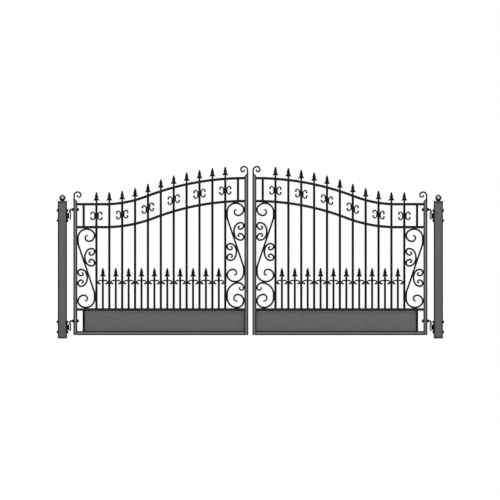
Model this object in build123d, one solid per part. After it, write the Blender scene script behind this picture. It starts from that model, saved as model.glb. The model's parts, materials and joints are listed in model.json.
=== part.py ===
from build123d import *

import os
from math import acos, asin, atan, atan2, ceil, cos, degrees, hypot, pi, radians, sin, sqrt

# A double-leaf wrought iron driveway gate between two steel tube posts.
# Millimetres. The origin is the middle of the left post's foot, at ground level.
# X runs along the gate to the right post, Y away from the driveway, Z up.
# Each leaf is drawn once in leaf coordinates: u runs along the leaf from the outer face of
# its hinge stile, Z stays the height. The right leaf is the mirror image of the left one.

# ---- driving dimensions ----
CLEAR_OPENING = 3660.0          # between the posts' faces: a 12 ft drive
POST_SIDE = 90.0
POST_WALL = 3.0
POST_CORNER = 3.0               # flat on each corner of the tube
POST_HEIGHT = 1365.0
HINGE_GAP = 65.0                # post face to hinge stile
MEETING_GAP = 42.0              # between the two meeting stiles
GROUND_GAP = 35.0               # under the leaves

STILE_SIDE = 38.0
TUBE_WALL = 2.0
BOTTOM_RAIL_HEIGHT = 38.0
PANEL_HEIGHT = 203.0            # of the kick panel, between its two rails
PANEL_THICKNESS = 2.5
PANEL_RAIL_HEIGHT = 25.0

ARCH_HEIGHT = 24.0              # section of the two arched rails
ARCH_DEPTH = 25.0
ARCH_HINGE_Z = 1338.8           # middle of the upper arch at the hinge stile
ARCH_RISE = 259.7               # from there to the crown at the meeting stile
ARCH_FLAT_END = 311.0           # where the level stretch ends
HOLLOW_RADIUS = 1150.0          # of the upper arch's first, upward bend
BAND_DROP = 229.0               # from the upper arch down to the lower one, square to both

PICKET_SIDE = 22.0
PICKET_COUNT = 11
FIRST_PICKET = 229.5
PICKET_PITCH = 128.5
END_BAR_PLACES = (102.5, 1641.5)

DOG_BAR_SIDE = 20.0
DOG_BAR_TOP = 604.0
DOG_SPEAR_TIP = 702.0
SPEAR_ABOVE_ARCH = 120.0        # tip above the middle of the upper arch

SCROLL_BAR = 16.0               # square bar of the large scrolls
FINE_BAR = 12.0                 # bar of the small scrolls and the hooks
CURL_BAR = 14.0                 # bar of the curls on the stiles
WELD_BITE = 0.6                 # how far a scroll is ground flat where it is welded on
FLAT_STAND_OFF = 2.5            # scrolls are hammered in flats, this close to the true arc

HINGE_AXIS_OFFSET = 30.0        # hinge axis to post face
HINGE_HEIGHTS = {"lower": 174.0, "upper": 1285.0}
PINTLE_BAR = 16.0

# ---- worked out from them ----
LEAF_START = POST_SIDE / 2 + HINGE_GAP
POST_SPACING = CLEAR_OPENING + POST_SIDE
GATE_MIDDLE = POST_SPACING / 2
LEAF_WIDTH = (CLEAR_OPENING - 2 * HINGE_GAP - MEETING_GAP) / 2
CLEAR_END = LEAF_WIDTH - STILE_SIDE
BOTTOM_RAIL_TOP = GROUND_GAP + BOTTOM_RAIL_HEIGHT
PANEL_TOP = BOTTOM_RAIL_TOP + PANEL_HEIGHT
PICKET_FOOT = PANEL_TOP + PANEL_RAIL_HEIGHT
CROWN_Z = ARCH_HINGE_Z + ARCH_RISE
ARCH_RUN = CLEAR_END - ARCH_FLAT_END
ARCH_TURN = 2 * atan(ARCH_RISE / ARCH_RUN)
CROWN_RADIUS = ARCH_RUN / sin(ARCH_TURN) - HOLLOW_RADIUS
PICKETS = [FIRST_PICKET + PICKET_PITCH * i for i in range(PICKET_COUNT)]
DOG_BARS = [(a + b) / 2 for a, b in zip(PICKETS, PICKETS[1:])]
HINGE_AXIS = POST_SIDE / 2 + HINGE_AXIS_OFFSET
HINGE_CELL = (STILE_SIDE, PICKETS[0] - PICKET_SIDE / 2)
MEETING_CELL = (PICKETS[-1] + PICKET_SIDE / 2, CLEAR_END)


# ---- helpers ----
def block(low, high):
    """A rectangular solid between two opposite corners."""
    size = [b - a for a, b in zip(low, high)]
    middle = [(a + b) / 2 for a, b in zip(low, high)]
    return Pos(*middle) * Box(*size)


def upright(u, bottom, top, side):
    """A square bar standing in the middle plane of the leaf."""
    half = side / 2
    return block((u - half, -half, bottom), (u + half, half, top))


def slab(outline, depth):
    """An outline drawn in the plane of the gate, thickened evenly to both sides."""
    return extrude(Plane.XZ * outline, depth / 2, both=True)


def along(start, angle, run, share):
    """The point and direction a share of the way along a run.

    A run is (length, 0) for a straight stretch, or (radius, turn) for an arc that turns by
    that many degrees, to the left when positive.
    """
    size, turn = run
    if turn == 0:
        return (start[0] + size * share * cos(angle), start[1] + size * share * sin(angle)), angle
    side = 1 if turn > 0 else -1
    later = angle + radians(turn) * share
    x = start[0] + side * size * (sin(later) - sin(angle))
    z = start[1] - side * size * (cos(later) - cos(angle))
    return (x, z), later


def beside(point, angle, distance):
    """The point at that distance to the left of a direction."""
    return point[0] - distance * sin(angle), point[1] + distance * cos(angle)


def walk(start, heading, runs):
    """The end point and the heading, in degrees, after a chain of runs."""
    point, angle = start, radians(heading)
    for run in runs:
        point, angle = along(point, angle, run, 1)
    return point, degrees(angle)


def flats_of(run):
    """How many hammered flats an arc takes, so that none stands off it by more than allowed."""
    radius, turn = run
    if turn == 0:
        return 1
    widest = 2 * degrees(acos(1 - FLAT_STAND_OFF / radius))
    return ceil(abs(turn) / widest)


def bent_outline(start, heading, runs, widths, hammered=True):
    """The outline of a bar bent along a chain of tangent runs.

    widths holds the bar's width at the start of each run and at the end of the last one.
    A hammered bar follows its arcs in flats, any other one in true arcs.
    """
    sides = {1: [], -1: []}
    point, angle = start, radians(heading)
    for run, near, far in zip(runs, widths, widths[1:]):
        pieces = flats_of(run) if hammered else 1
        marks = [i / (2 * pieces) for i in range(2 * pieces + 1)]
        stations = [along(point, angle, run, mark) for mark in marks]
        halves = [(near + (far - near) * mark) / 2 for mark in marks]
        for side, edges in sides.items():
            spots = [beside(p, a, side * h) for (p, a), h in zip(stations, halves)]
            for i in range(0, 2 * pieces, 2):
                if run[1] == 0 or hammered:
                    edges.append(Line(spots[i], spots[i + 2]))
                else:
                    edges.append(ThreePointArc(spots[i], spots[i + 1], spots[i + 2]))
        point, angle = stations[-1]
    ends = [Line(sides[1][i] @ i_end, sides[-1][i] @ i_end) for i, i_end in ((0, 0), (-1, 1))]
    return make_face(sides[1] + sides[-1] + ends)


def mirrored(shape):
    """The same piece on the other side of the gate's middle."""
    return shape.mirror(Plane.YZ.offset(GATE_MIDDLE))


# ---- the two arched rails ----
def arch_height(u, drop=0.0):
    """Height of an arch's middle line at u, for the curve that lies drop below the upper one.

    Level to ARCH_FLAT_END, then an arc that bends upwards, then one that bends over to a
    level crown at the meeting stile. Parallel curves share the arcs' centres.
    """
    hollow, crown = HOLLOW_RADIUS + drop, CROWN_RADIUS - drop
    if u <= ARCH_FLAT_END:
        return ARCH_HINGE_Z - drop
    if u <= ARCH_FLAT_END + hollow * sin(ARCH_TURN):
        return ARCH_HINGE_Z + HOLLOW_RADIUS - sqrt(hollow**2 - (u - ARCH_FLAT_END) ** 2)
    return CROWN_Z - CROWN_RADIUS + sqrt(crown**2 - (CLEAR_END - u) ** 2)


def arch(drop):
    turn = degrees(ARCH_TURN)
    runs = [
        (ARCH_FLAT_END - STILE_SIDE, 0),
        (HOLLOW_RADIUS + drop, turn),
        (CROWN_RADIUS - drop, -turn),
    ]
    start = (STILE_SIDE, ARCH_HINGE_Z - drop)
    return slab(bent_outline(start, 0, runs, [ARCH_HEIGHT] * 4, hammered=False), ARCH_DEPTH)


def sawn_end(u, drop, under):
    """The heights, on its two edges, where a picket is sawn straight to meet a curve.

    The saw cut runs along the curve's chord, moved just enough to stay out of the curve.
    """
    half = PICKET_SIDE / 2
    left, middle, right = (arch_height(u + step, drop) for step in (-half, 0, half))
    bulge = middle - (left + right) / 2
    shift = min(bulge, 0) if under else max(bulge, 0)
    return left + shift, right + shift


def picket_length(u, foot, head):
    """A length of picket between two sawn ends, each given by its heights at both edges."""
    half = PICKET_SIDE / 2
    corners = [(u - half, foot[0]), (u + half, foot[1]), (u + half, head[1]), (u - half, head[0])]
    return slab(Polygon(*corners, align=None), PICKET_SIDE)


def between_arches(u):
    half = ARCH_HEIGHT / 2
    foot = sawn_end(u, BAND_DROP - half, under=False)
    return picket_length(u, foot, sawn_end(u, half, under=True))


def below_arches(u):
    head = sawn_end(u, BAND_DROP + ARCH_HEIGHT / 2, under=True)
    return picket_length(u, (PICKET_FOOT, PICKET_FOOT), head)


# ---- stiles and their curls ----
STILE_BEVEL = STILE_SIDE        # 45 degrees across the top
HINGE_STILE_TOP = 1405.0
MEETING_STILE_TOP = 1659.0


def stile(outer_face, inner_face, top, openings=()):
    """A square tube whose top is cut at 45 degrees, high on its outer face, and plated over."""
    inward = 1 if inner_face > outer_face else -1
    half = STILE_SIDE / 2
    low = top - STILE_BEVEL
    shell = Polygon(
        (outer_face, GROUND_GAP), (inner_face, GROUND_GAP), (inner_face, low), (outer_face, top),
        align=None,
    )
    inner_start, inner_end = outer_face + inward * TUBE_WALL, inner_face - inward * TUBE_WALL
    plate = TUBE_WALL * sqrt(2)
    core = Polygon(
        (inner_start, GROUND_GAP), (inner_end, GROUND_GAP),
        (inner_end, low + TUBE_WALL - plate), (inner_start, top - TUBE_WALL - plate),
        align=None,
    )
    tube = slab(shell, 2 * half) - slab(core, 2 * half - 2 * TUBE_WALL)
    for z in openings:
        reach = PINTLE_BAR / 2 + PINTLE_PLAY
        tube -= block((outer_face - 1, -reach, z - reach), (inner_face + 1, reach, z + reach))
    return tube


CURL_RADII = (37.0, 30.0, 21.0, 14.0)
CURL_TIP_WIDTH = 10.0
CURL_RISE = 55.0                # middle of the curl's top above the stile's highest point


def stile_curl(outer_face, top, inward):
    """A bar that rises from the bevel, flush with the outer face, and curls over the leaf."""
    riser = CURL_RISE - CURL_RADII[0] + CURL_BAR
    start = (outer_face + inward * CURL_BAR / 2, top - CURL_BAR)
    runs = [(riser, 0)] + [(radius, -90 * inward) for radius in CURL_RADII]
    widths = [CURL_BAR] * (len(runs) - 1) + [CURL_TIP_WIDTH] * 2
    bar = slab(bent_outline(start, 90, runs, widths), CURL_BAR)
    bevel = Polygon(
        (outer_face, top), (outer_face, top - 2 * STILE_BEVEL),
        (outer_face + inward * STILE_BEVEL, top - STILE_BEVEL),
        align=None,
    )
    return bar - slab(bevel, STILE_SIDE)


# ---- large scrolls ----
S_TOP_OFFSET = 3.3              # the S's top point, beside the middle of its cell
S_SHOULDER_RADIUS = 129.0       # where the S leaves the upright and starts down
S_REST = 38.0                   # its straight stretch along the upright
S_CREST = (85.5, 90.5)          # radii over the top, before and after its highest point
S_INNER = ((58.0, 90), (36.0, 90), (20.0, 80))
S_TAIL = 10.0
UPPER_C = (110.0, 87.0)         # middle above that of the S, and half height
LOWER_C = (95.4, 84.0)          # the same, below it
C_BACK_RADIUS = 112.0           # of its back, which touches the S where their slopes agree
C_BACK_TURN = 30.0              # of each half of the back
C_CURL_GAP = 43.6               # between the two curls, middle to middle
C_INNER = ((19.0, 90), (9.0, 85))
TIP_WIDTH = 12.0


def tapered(count, full, tip, last):
    """Widths for a chain of runs: full size, then drawn down to the tip over the last few."""
    steps = [full] * (count + 1 - last)
    return steps + [full + (tip - full) * (i + 1) / last for i in range(last)]


def two_ended(middle, heading, half, mirror, full, tip, last=2):
    """A scroll grown outwards from its middle: half as given, and its twin the other way.

    The twin is turned half round for an S, or mirrored for a C.
    """
    start, end_heading = walk(middle, heading, half)
    back = [(size, -turn) for size, turn in reversed(half)]
    twin = [(size, -turn) for size, turn in half] if mirror else list(half)
    widths = tapered(len(half), full, tip, last)
    return bent_outline(start, end_heading + 180, back + twin, widths[::-1] + widths[1:])


def s_half(half_width, half_height):
    """The runs of an S from its middle upwards, and the tilt of its straight stretch.

    The shoulder touches the upright and the straight stretch. Above it the S rests against
    the upright, and then goes over to the other upright in four bends of 45 degrees, the
    outer two as large as the cell's width leaves them.
    """
    half_corner = sin(radians(45))
    before, after = (
        (half_width + side * S_TOP_OFFSET - crest * half_corner) / (1 - half_corner)
        for side, crest in zip((1, -1), S_CREST)
    )
    rest_top = half_height - S_CREST[0] * (1 - half_corner) - before * half_corner
    shoulder, shoulder_z = S_SHOULDER_RADIUS, rest_top - S_REST
    reach = hypot(half_width - shoulder, shoulder_z)
    lean = degrees(atan2(shoulder_z, shoulder - half_width) + asin(shoulder / reach)) - 90
    runs = [(sqrt(reach**2 - shoulder**2), 0), (shoulder, -lean), (S_REST, 0)]
    runs += [(radius, -45) for radius in (before, *S_CREST, after)]
    return runs + [(radius, -turn) for radius, turn in S_INNER] + [(S_TAIL, 0)], lean


def s_scroll(middle, half_width, half_height):
    runs, lean = s_half(half_width, half_height)
    return slab(two_ended(middle, 90 + lean, runs, False, SCROLL_BAR, TIP_WIDTH, 3), SCROLL_BAR)


def c_scroll(middle, half_width, lean, centre, half_height):
    """A C whose back lies against the S and whose curls touch the upright to its right."""
    back, turn = C_BACK_RADIUS, C_BACK_TURN
    corner = (half_height - back * sin(radians(turn))) / (1 - sin(radians(turn)))
    touch = back + SCROLL_BAR - WELD_BITE - centre * sin(radians(lean))
    left = touch / cos(radians(lean)) - back
    top = left + back * (1 - cos(radians(turn))) + corner * cos(radians(turn))
    front = half_width - top
    curl = half_height - front - C_CURL_GAP / 2
    runs = [(back, -lean), (back, lean - turn), (corner, turn - 90), (front, -90), (curl, -90)]
    runs += [(radius, -sweep) for radius, sweep in C_INNER]
    place = (middle[0] + left, middle[1] + centre)
    return slab(two_ended(place, 90, runs, True, SCROLL_BAR, TIP_WIDTH), SCROLL_BAR)


LOW_SCROLL_TOP = 115.0          # radius from the picket up to its highest point
LOW_SCROLL_LIFT = 6.6           # of that point above the lowest one of the S, beside it
LOW_SCROLL_FOOT = 98.0          # radius from the picket down to its lowest point
LOW_SCROLL_UP = ((22.0, 90), (20.0, 100))
LOW_SCROLL_DOWN = ((62.0, 90), (36.0, 90), (30.0, 90))


def low_scroll(cell, bottom, top):
    """The scroll under the meeting side's S: a small curl above, a full one below.

    Both of its bends reach across the cell, from the picket to the stile.
    """
    left = cell[0] + SCROLL_BAR / 2 - WELD_BITE
    reach = cell[1] - cell[0] - SCROLL_BAR + 2 * WELD_BITE
    middle_z = bottom + SCROLL_BAR / 2 - WELD_BITE + LOW_SCROLL_FOOT
    rise = top + LOW_SCROLL_LIFT - SCROLL_BAR / 2 - middle_z - LOW_SCROLL_TOP
    up = [(rise, 0), (LOW_SCROLL_TOP, -90), (reach - LOW_SCROLL_TOP, -90)]
    up += [(radius, -turn) for radius, turn in LOW_SCROLL_UP]
    down = [(LOW_SCROLL_FOOT, 90), (reach - LOW_SCROLL_FOOT, 90), *LOW_SCROLL_DOWN]
    start, heading = walk((left, middle_z), 90, up)
    back = [(size, -turn) for size, turn in reversed(up)]
    rising = tapered(len(up), SCROLL_BAR, TIP_WIDTH, 2)
    falling = tapered(len(down), SCROLL_BAR, TIP_WIDTH, 2)
    outline = bent_outline(start, heading + 180, back + down, rising[::-1] + falling[1:])
    return slab(outline, SCROLL_BAR)


def half_turn(shape, middle):
    """The same piece turned half round about a point of the gate's plane."""
    return Pos(middle[0], 0, middle[1]) * Rot(0, 180, 0) * Pos(-middle[0], 0, -middle[1]) * shape


def scroll_cell(cell, bottom, top):
    """The S and the two C-scrolls of one cell, trimmed flat where they meet its sides."""
    half_width = (cell[1] - cell[0] - SCROLL_BAR) / 2 + WELD_BITE
    half_height = (top - bottom - SCROLL_BAR) / 2 + WELD_BITE
    middle = ((cell[0] + cell[1]) / 2, (top + bottom) / 2)
    room = block((cell[0], -SCROLL_BAR, bottom), (cell[1], SCROLL_BAR, top + SCROLL_BAR))
    s = s_scroll(middle, half_width, half_height) & room
    lean = s_half(half_width, half_height)[1]
    upper, lower = (
        (c_scroll(middle, half_width, lean, *size) & room) - s for size in (UPPER_C, LOWER_C)
    )
    return s, [upper, half_turn(lower, middle)]


# ---- small scrolls ----
PAIR_FLAT = 34.0                # where the back lies along the picket
PAIR_RUNS = ((14.0, 48), (11.0, 0), (15.0, 158))    # from there to the end
PAIR_HANG = 20.0                # from the back to the middle of the C
PAIR_DROP = 2.0                 # below the middle of the band
FINE_BITE = 0.3


def small_c():
    """A small C open to the right, its back's middle at the origin."""
    half = [(size, -turn) for size, turn in PAIR_RUNS]
    start, end_heading = walk((0, PAIR_FLAT / 2), 90, half)
    back = [(size, -turn) for size, turn in reversed(half)]
    twin = [(size, -turn) for size, turn in half]
    widths = [FINE_BAR] * (2 * len(half) + 2)
    return slab(bent_outline(start, end_heading + 180, back + [(PAIR_FLAT, 0)] + twin, widths), FINE_BAR)


def c_pair(u):
    """Two small Cs back to back on a picket, each at the middle of the band where it hangs."""
    reach = PICKET_SIDE / 2 + FINE_BAR / 2 - FINE_BITE
    shape, bar = small_c(), upright(u, PICKET_FOOT, CROWN_Z, PICKET_SIDE)
    pair = []
    for side in (-1, 1):
        hang = u + side * (reach + PAIR_HANG)
        z = (arch_height(hang) + arch_height(hang, BAND_DROP)) / 2 - PAIR_DROP
        turned = shape if side > 0 else Rot(0, 0, 180) * shape
        pair.append(Pos(u + side * reach, 0, z) * turned - bar)
    return pair


HOOK_RADIUS = 23.0
HOOK_CURL = (10.0, 120)         # its end, curled back under
HOOK_Z = 578.6                  # of the level stretch


def hook(u, side):
    """A cane from a dog bar to the picket beside it, with its end curled back under."""
    face = u + side * DOG_BAR_SIDE / 2
    picket_face = u + side * (PICKET_PITCH - PICKET_SIDE) / 2
    length = abs(picket_face - face) - FINE_BAR / 2 + FINE_BITE - HOOK_RADIUS
    runs = [(length, 0), (HOOK_RADIUS, -90 * side), (HOOK_CURL[0], -HOOK_CURL[1] * side)]
    outline = bent_outline((face, HOOK_Z), 90 - 90 * side, runs, [FINE_BAR] * 4)
    picket = upright(u + side * PICKET_PITCH / 2, PICKET_FOOT, DOG_SPEAR_TIP, PICKET_SIDE)
    return slab(outline, FINE_BAR) - picket


# ---- spears ----
SPEAR_SHANK = 17.0
SPEAR_TIP_WIDTH = 12.0          # of the blunt tip, cast flat
SPEAR_OUTLINE = ((16.5, -46.0), (14.5, -57.0), (31.0, -86.0), (8.5, -82.0))  # shoulder to barb
SPEAR_FULL_DEPTH = 46.0         # below the tip, where it is as thick as its shank
SPEAR_BARB_REACH = 32.0


def spear(length):
    """A cast spear with two drooping barbs, its tip at the origin, thinned towards that tip."""
    right = [(SPEAR_TIP_WIDTH / 2, 0.0), *SPEAR_OUTLINE, (SPEAR_SHANK / 2, -length)]
    left = [(-x, z) for x, z in reversed(right)]
    front = slab(Polygon(*right, *left, align=None), SPEAR_SHANK)
    tip, half = SPEAR_TIP_WIDTH / 2, SPEAR_SHANK / 2
    edge = Polygon(
        (-tip, 0), (tip, 0), (half, -SPEAR_FULL_DEPTH), (half, -length), (-half, -length),
        (-half, -SPEAR_FULL_DEPTH),
        align=None,
    )
    return front & extrude(Plane.YZ * edge, SPEAR_BARB_REACH, both=True)


# ---- hinges ----
PINTLE_PLAY = 0.1
PIN_DIAMETER = 16.0
BARREL_DIAMETER = 25.0          # across its forged flats
BARREL_FLATS = 12
PIN_CLEARANCE = 0.05
BARREL_TOP_DROP = 33.0          # barrel top below the pintle's arm
BARREL_LENGTH = 60.0
BEND_RADIUS = 20.0
BRACKET_THICKNESS = 6.0
BRACKET_WIDTH = 50.0
BRACKET_HEIGHT = 130.0
BRACKET_TOP_RISE = 2.0
WEB_THICKNESS = 10.0
COLLAR_GAP = 0.3
COLLAR_HEIGHT = 6.0
COLLAR_SIDE = 24.0
PIN_OVERHANG = 7.0
NUT_ACROSS_FLATS = 26.0
NUT_THICKNESS = 12.0


def hinge_bracket(z):
    """A plate on the post, a web and the barrel that the pintle turns in."""
    face = POST_SIDE / 2
    top = z - BARREL_TOP_DROP
    bottom = top - BARREL_LENGTH
    plate_top = z + BRACKET_TOP_RISE
    plate = block(
        (face, -BRACKET_WIDTH / 2, plate_top - BRACKET_HEIGHT),
        (face + BRACKET_THICKNESS, BRACKET_WIDTH / 2, plate_top),
    )
    web = block(
        (face + BRACKET_THICKNESS, -WEB_THICKNESS / 2, bottom),
        (HINGE_AXIS, WEB_THICKNESS / 2, top),
    )
    at = Pos(HINGE_AXIS, 0, (top + bottom) / 2)
    bore = at * Cylinder(PIN_DIAMETER / 2 + PIN_CLEARANCE, BARREL_LENGTH + 2)
    outline = RegularPolygon(BARREL_DIAMETER / 2, BARREL_FLATS, major_radius=False)
    barrel = Pos(HINGE_AXIS, 0, bottom) * extrude(outline, BARREL_LENGTH)
    return plate + web + barrel - bore


def pintle(z):
    """A square bar through the stile, bent down into the round pin that hangs in the barrel."""
    stile_face, inner_face = LEAF_START, LEAF_START + STILE_SIDE
    arm_end = inner_face + NUT_THICKNESS
    barrel_top = z - BARREL_TOP_DROP
    collar_foot = barrel_top + COLLAR_GAP
    collar_top = collar_foot + COLLAR_HEIGHT
    runs = [
        (z - BEND_RADIUS - collar_top, 0),
        (BEND_RADIUS, -90),
        (arm_end - HINGE_AXIS - BEND_RADIUS, 0),
    ]
    outline = bent_outline((HINGE_AXIS, collar_top), 90, runs, [PINTLE_BAR] * 4)
    arm = slab(outline, PINTLE_BAR)
    collar = Pos(HINGE_AXIS, 0, collar_foot) * extrude(Rectangle(COLLAR_SIDE, COLLAR_SIDE), COLLAR_HEIGHT)
    pin_end = barrel_top - BARREL_LENGTH - PIN_OVERHANG
    pin = Pos(HINGE_AXIS, 0, pin_end) * extrude(Circle(PIN_DIAMETER / 2), collar_foot - pin_end)
    hexagon = RegularPolygon(NUT_ACROSS_FLATS / 2, 6, major_radius=False)
    nut = extrude(Plane.YZ * hexagon, NUT_THICKNESS)
    outer_nut = Pos(stile_face - NUT_THICKNESS, 0, z) * nut
    inner_nut = Pos(inner_face, 0, z) * nut
    return arm + pin + collar + outer_nut + inner_nut


# ---- posts ----
CAP_SIDE = 94.0
CAP_SKIRT = 12.0
CAP_PLATE = 6.0
CAP_PLAY = 0.2
CAP_CHAMFER = 4.0
BALL_DIAMETER = 64.0
BALL_SIDES = 16
BALL_SINK = 1.5


def post():
    inner = POST_SIDE - 2 * POST_WALL
    outline = Rectangle(POST_SIDE, POST_SIDE)
    outline = chamfer(outline.vertices(), POST_CORNER)
    return extrude(outline - Rectangle(inner, inner), POST_HEIGHT)


def cast_ball():
    """A ball cast in flats, as many round its waist as BALL_SIDES and half as many down."""
    rings = []
    for row in range(BALL_SIDES // 2 + 1):
        down = 2 * pi * row / BALL_SIDES
        radius, z = BALL_DIAMETER / 2 * sin(down), BALL_DIAMETER / 2 * cos(down)
        turns = [2 * pi * i / BALL_SIDES for i in range(BALL_SIDES)]
        rings.append([(radius * cos(a), radius * sin(a), z) for a in turns])
    faces = []
    for upper, lower in zip(rings, rings[1:]):
        for i in range(BALL_SIDES):
            corners = [upper[i - 1], lower[i - 1], lower[i], upper[i]]
            if upper is rings[0]:
                corners = corners[:3]
            if lower is rings[-1]:
                corners = [corners[0], *corners[-2:]]
            faces.append(Face(Wire.make_polygon(corners)))
    return Solid(Shell(faces))


def post_cap():
    """A cast cap that slips over the tube: skirt, plate and ball."""
    outline = Rectangle(CAP_SIDE, CAP_SIDE)
    outline = chamfer(outline.vertices(), CAP_CHAMFER)
    inside = POST_SIDE + 2 * CAP_PLAY
    cap = extrude(outline, CAP_SKIRT + CAP_PLATE) - extrude(Rectangle(inside, inside), CAP_SKIRT)
    cap += Pos(0, 0, CAP_SKIRT + CAP_PLATE + BALL_DIAMETER / 2 - BALL_SINK) * cast_ball()
    return Pos(0, 0, POST_HEIGHT - CAP_SKIRT) * cap


# ---- one leaf, in leaf coordinates ----
def leaf():
    half = STILE_SIDE / 2
    upper_arch, lower_arch = arch(0), arch(BAND_DROP)

    def rail(bottom, top, wall):
        outside = block((STILE_SIDE, -half, bottom), (CLEAR_END, half, top))
        inside = block(
            (STILE_SIDE - 1, wall - half, bottom + wall), (CLEAR_END + 1, half - wall, top - wall)
        )
        return outside - inside

    end_bar = upright(END_BAR_PLACES[0], BOTTOM_RAIL_TOP, PANEL_TOP, PICKET_SIDE)
    panel_start = END_BAR_PLACES[0] + PICKET_SIDE / 2
    panel = block(
        (panel_start, -PANEL_THICKNESS / 2, BOTTOM_RAIL_TOP),
        (CLEAR_END, PANEL_THICKNESS / 2, PANEL_TOP),
    )

    spears = []
    for u in PICKETS:
        above = Pos(u, 0, arch_height(u) + SPEAR_ABOVE_ARCH) * spear(SPEAR_ABOVE_ARCH) - upper_arch
        spears.append(above.solids().sort_by(Axis.Z)[-1])
    low_spear = spear(DOG_SPEAR_TIP - DOG_BAR_TOP)
    spears += [Pos(u, 0, DOG_SPEAR_TIP) * low_spear for u in DOG_BARS]

    under_arch = ARCH_HINGE_Z - BAND_DROP - ARCH_HEIGHT / 2
    s_height = under_arch - PICKET_FOOT
    meeting_top_u = sum(MEETING_CELL) / 2 + S_TOP_OFFSET
    meeting_top = arch_height(meeting_top_u, BAND_DROP) - ARCH_HEIGHT / 2
    hinge_s, hinge_cs = scroll_cell(HINGE_CELL, PICKET_FOOT, under_arch)
    meeting_s, meeting_cs = scroll_cell(MEETING_CELL, meeting_top - s_height, meeting_top)
    hinge_s, meeting_s = hinge_s - lower_arch, meeting_s - lower_arch
    sixes = low_scroll(MEETING_CELL, PICKET_FOOT, meeting_top - s_height)
    room = block(
        (MEETING_CELL[0], -SCROLL_BAR, PICKET_FOOT), (MEETING_CELL[1], SCROLL_BAR, CROWN_Z)
    )
    sixes = (sixes & room) - meeting_s

    return {
        "hinge_stile": [stile(0, STILE_SIDE, HINGE_STILE_TOP, HINGE_HEIGHTS.values())],
        "meeting_stile": [stile(LEAF_WIDTH, CLEAR_END, MEETING_STILE_TOP)],
        "bottom_rail": [rail(GROUND_GAP, BOTTOM_RAIL_TOP, TUBE_WALL)],
        "panel_rail": [rail(PANEL_TOP, PICKET_FOOT, TUBE_WALL)],
        "kick_panel": [panel],
        "panel_end_bar": [end_bar],
        "upper_arch": [upper_arch],
        "lower_arch": [lower_arch],
        "pickets": [cut(u) for cut in (below_arches, between_arches) for u in PICKETS],
        "arch_struts": [between_arches(u) for u in END_BAR_PLACES],
        "dog_bars": [upright(u, PICKET_FOOT, DOG_BAR_TOP, DOG_BAR_SIDE) for u in DOG_BARS],
        "spear_points": spears,
        "dog_bar_hooks": [hook(u, side) for u in DOG_BARS for side in (-1, 1)],
        "c_scroll_pairs": [c for u in PICKETS[::2] for c in c_pair(u)],
        "s_scrolls": [hinge_s, meeting_s],
        "c_scrolls": hinge_cs + meeting_cs + [sixes],
        "stile_curls": [
            stile_curl(0, HINGE_STILE_TOP, 1),
            stile_curl(LEAF_WIDTH, MEETING_STILE_TOP, -1),
        ],
        "hinge_pintles": [Pos(-LEAF_START, 0, 0) * pintle(z) for z in HINGE_HEIGHTS.values()],
    }


def save(name, solids):
    whole = solids[0] if len(solids) == 1 else Compound(children=list(solids))
    export_step(whole, f"parts/{name}.step")


def main():
    os.makedirs("parts", exist_ok=True)
    left_side = {"post": [post()]}
    for name, solids in leaf().items():
        left_side[name] = [Pos(LEAF_START, 0, 0) * solid for solid in solids]
    for name, solids in left_side.items():
        save(f"left_{name}", solids)
        save(f"right_{name}", [mirrored(solid) for solid in solids])
    on_left_post = {
        "post_caps": [post_cap()],
        "hinge_brackets": [hinge_bracket(z) for z in HINGE_HEIGHTS.values()],
    }
    for name, solids in on_left_post.items():
        save(name, solids + [mirrored(solid) for solid in solids])


main()
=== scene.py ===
# %% [markdown]
# # A wrought iron driveway gate
# Two leaves hang on pintle hinges between two square posts. Each leaf is a frame of square
# tube with a sheet kick panel below, pickets and shorter dog bars above it, two arched rails,
# spears on every bar and scrolls in the end cells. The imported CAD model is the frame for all
# of it: every piece made here takes its place from a CAD node and rides on that node's body.
# The gate could be modelled by hand, with extrusions and curve objects. It is worked out with
# numpy instead, because a smith's drawing is a set of lengths, radii and turns, and here they
# stand as they are, each in one place.

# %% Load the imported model
import json

import bpy
import numpy as np
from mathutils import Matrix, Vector


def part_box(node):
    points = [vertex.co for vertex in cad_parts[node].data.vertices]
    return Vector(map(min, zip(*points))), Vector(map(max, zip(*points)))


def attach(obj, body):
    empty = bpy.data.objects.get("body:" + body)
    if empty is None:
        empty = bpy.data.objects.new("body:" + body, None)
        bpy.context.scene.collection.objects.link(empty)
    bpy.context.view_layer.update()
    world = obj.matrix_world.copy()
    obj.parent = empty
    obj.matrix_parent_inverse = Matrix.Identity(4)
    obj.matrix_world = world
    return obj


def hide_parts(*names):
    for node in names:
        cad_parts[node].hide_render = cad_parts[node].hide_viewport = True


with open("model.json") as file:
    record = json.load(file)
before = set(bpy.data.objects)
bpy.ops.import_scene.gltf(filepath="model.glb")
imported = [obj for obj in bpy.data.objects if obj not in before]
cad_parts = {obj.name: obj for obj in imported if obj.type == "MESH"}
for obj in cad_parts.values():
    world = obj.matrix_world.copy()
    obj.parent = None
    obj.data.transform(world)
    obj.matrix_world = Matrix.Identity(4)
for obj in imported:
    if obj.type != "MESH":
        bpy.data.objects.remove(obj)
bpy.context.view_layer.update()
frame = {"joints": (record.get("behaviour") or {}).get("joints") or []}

# %% [markdown]
# ## Measures
# Smiths work in millimetres, so all shapes are drawn in millimetres and turned into metres
# when a mesh is made. Sizes and places could be typed in a second time, but two copies drift
# apart. So they are read from the boxes of the CAD nodes, and a change of the CAD model moves
# everything here with it. `u` is the distance along a leaf from the outer face of its hinge
# stile. The right leaf is the left one, mirrored.

# %% Sizes read from the CAD nodes
MM = 0.001
X, Y, Z = range(3)


def span(node, axis):
    """The lowest and the highest coordinate of a CAD node along an axis, in millimetres."""
    low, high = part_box(node)
    return low[axis] / MM, high[axis] / MM


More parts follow.
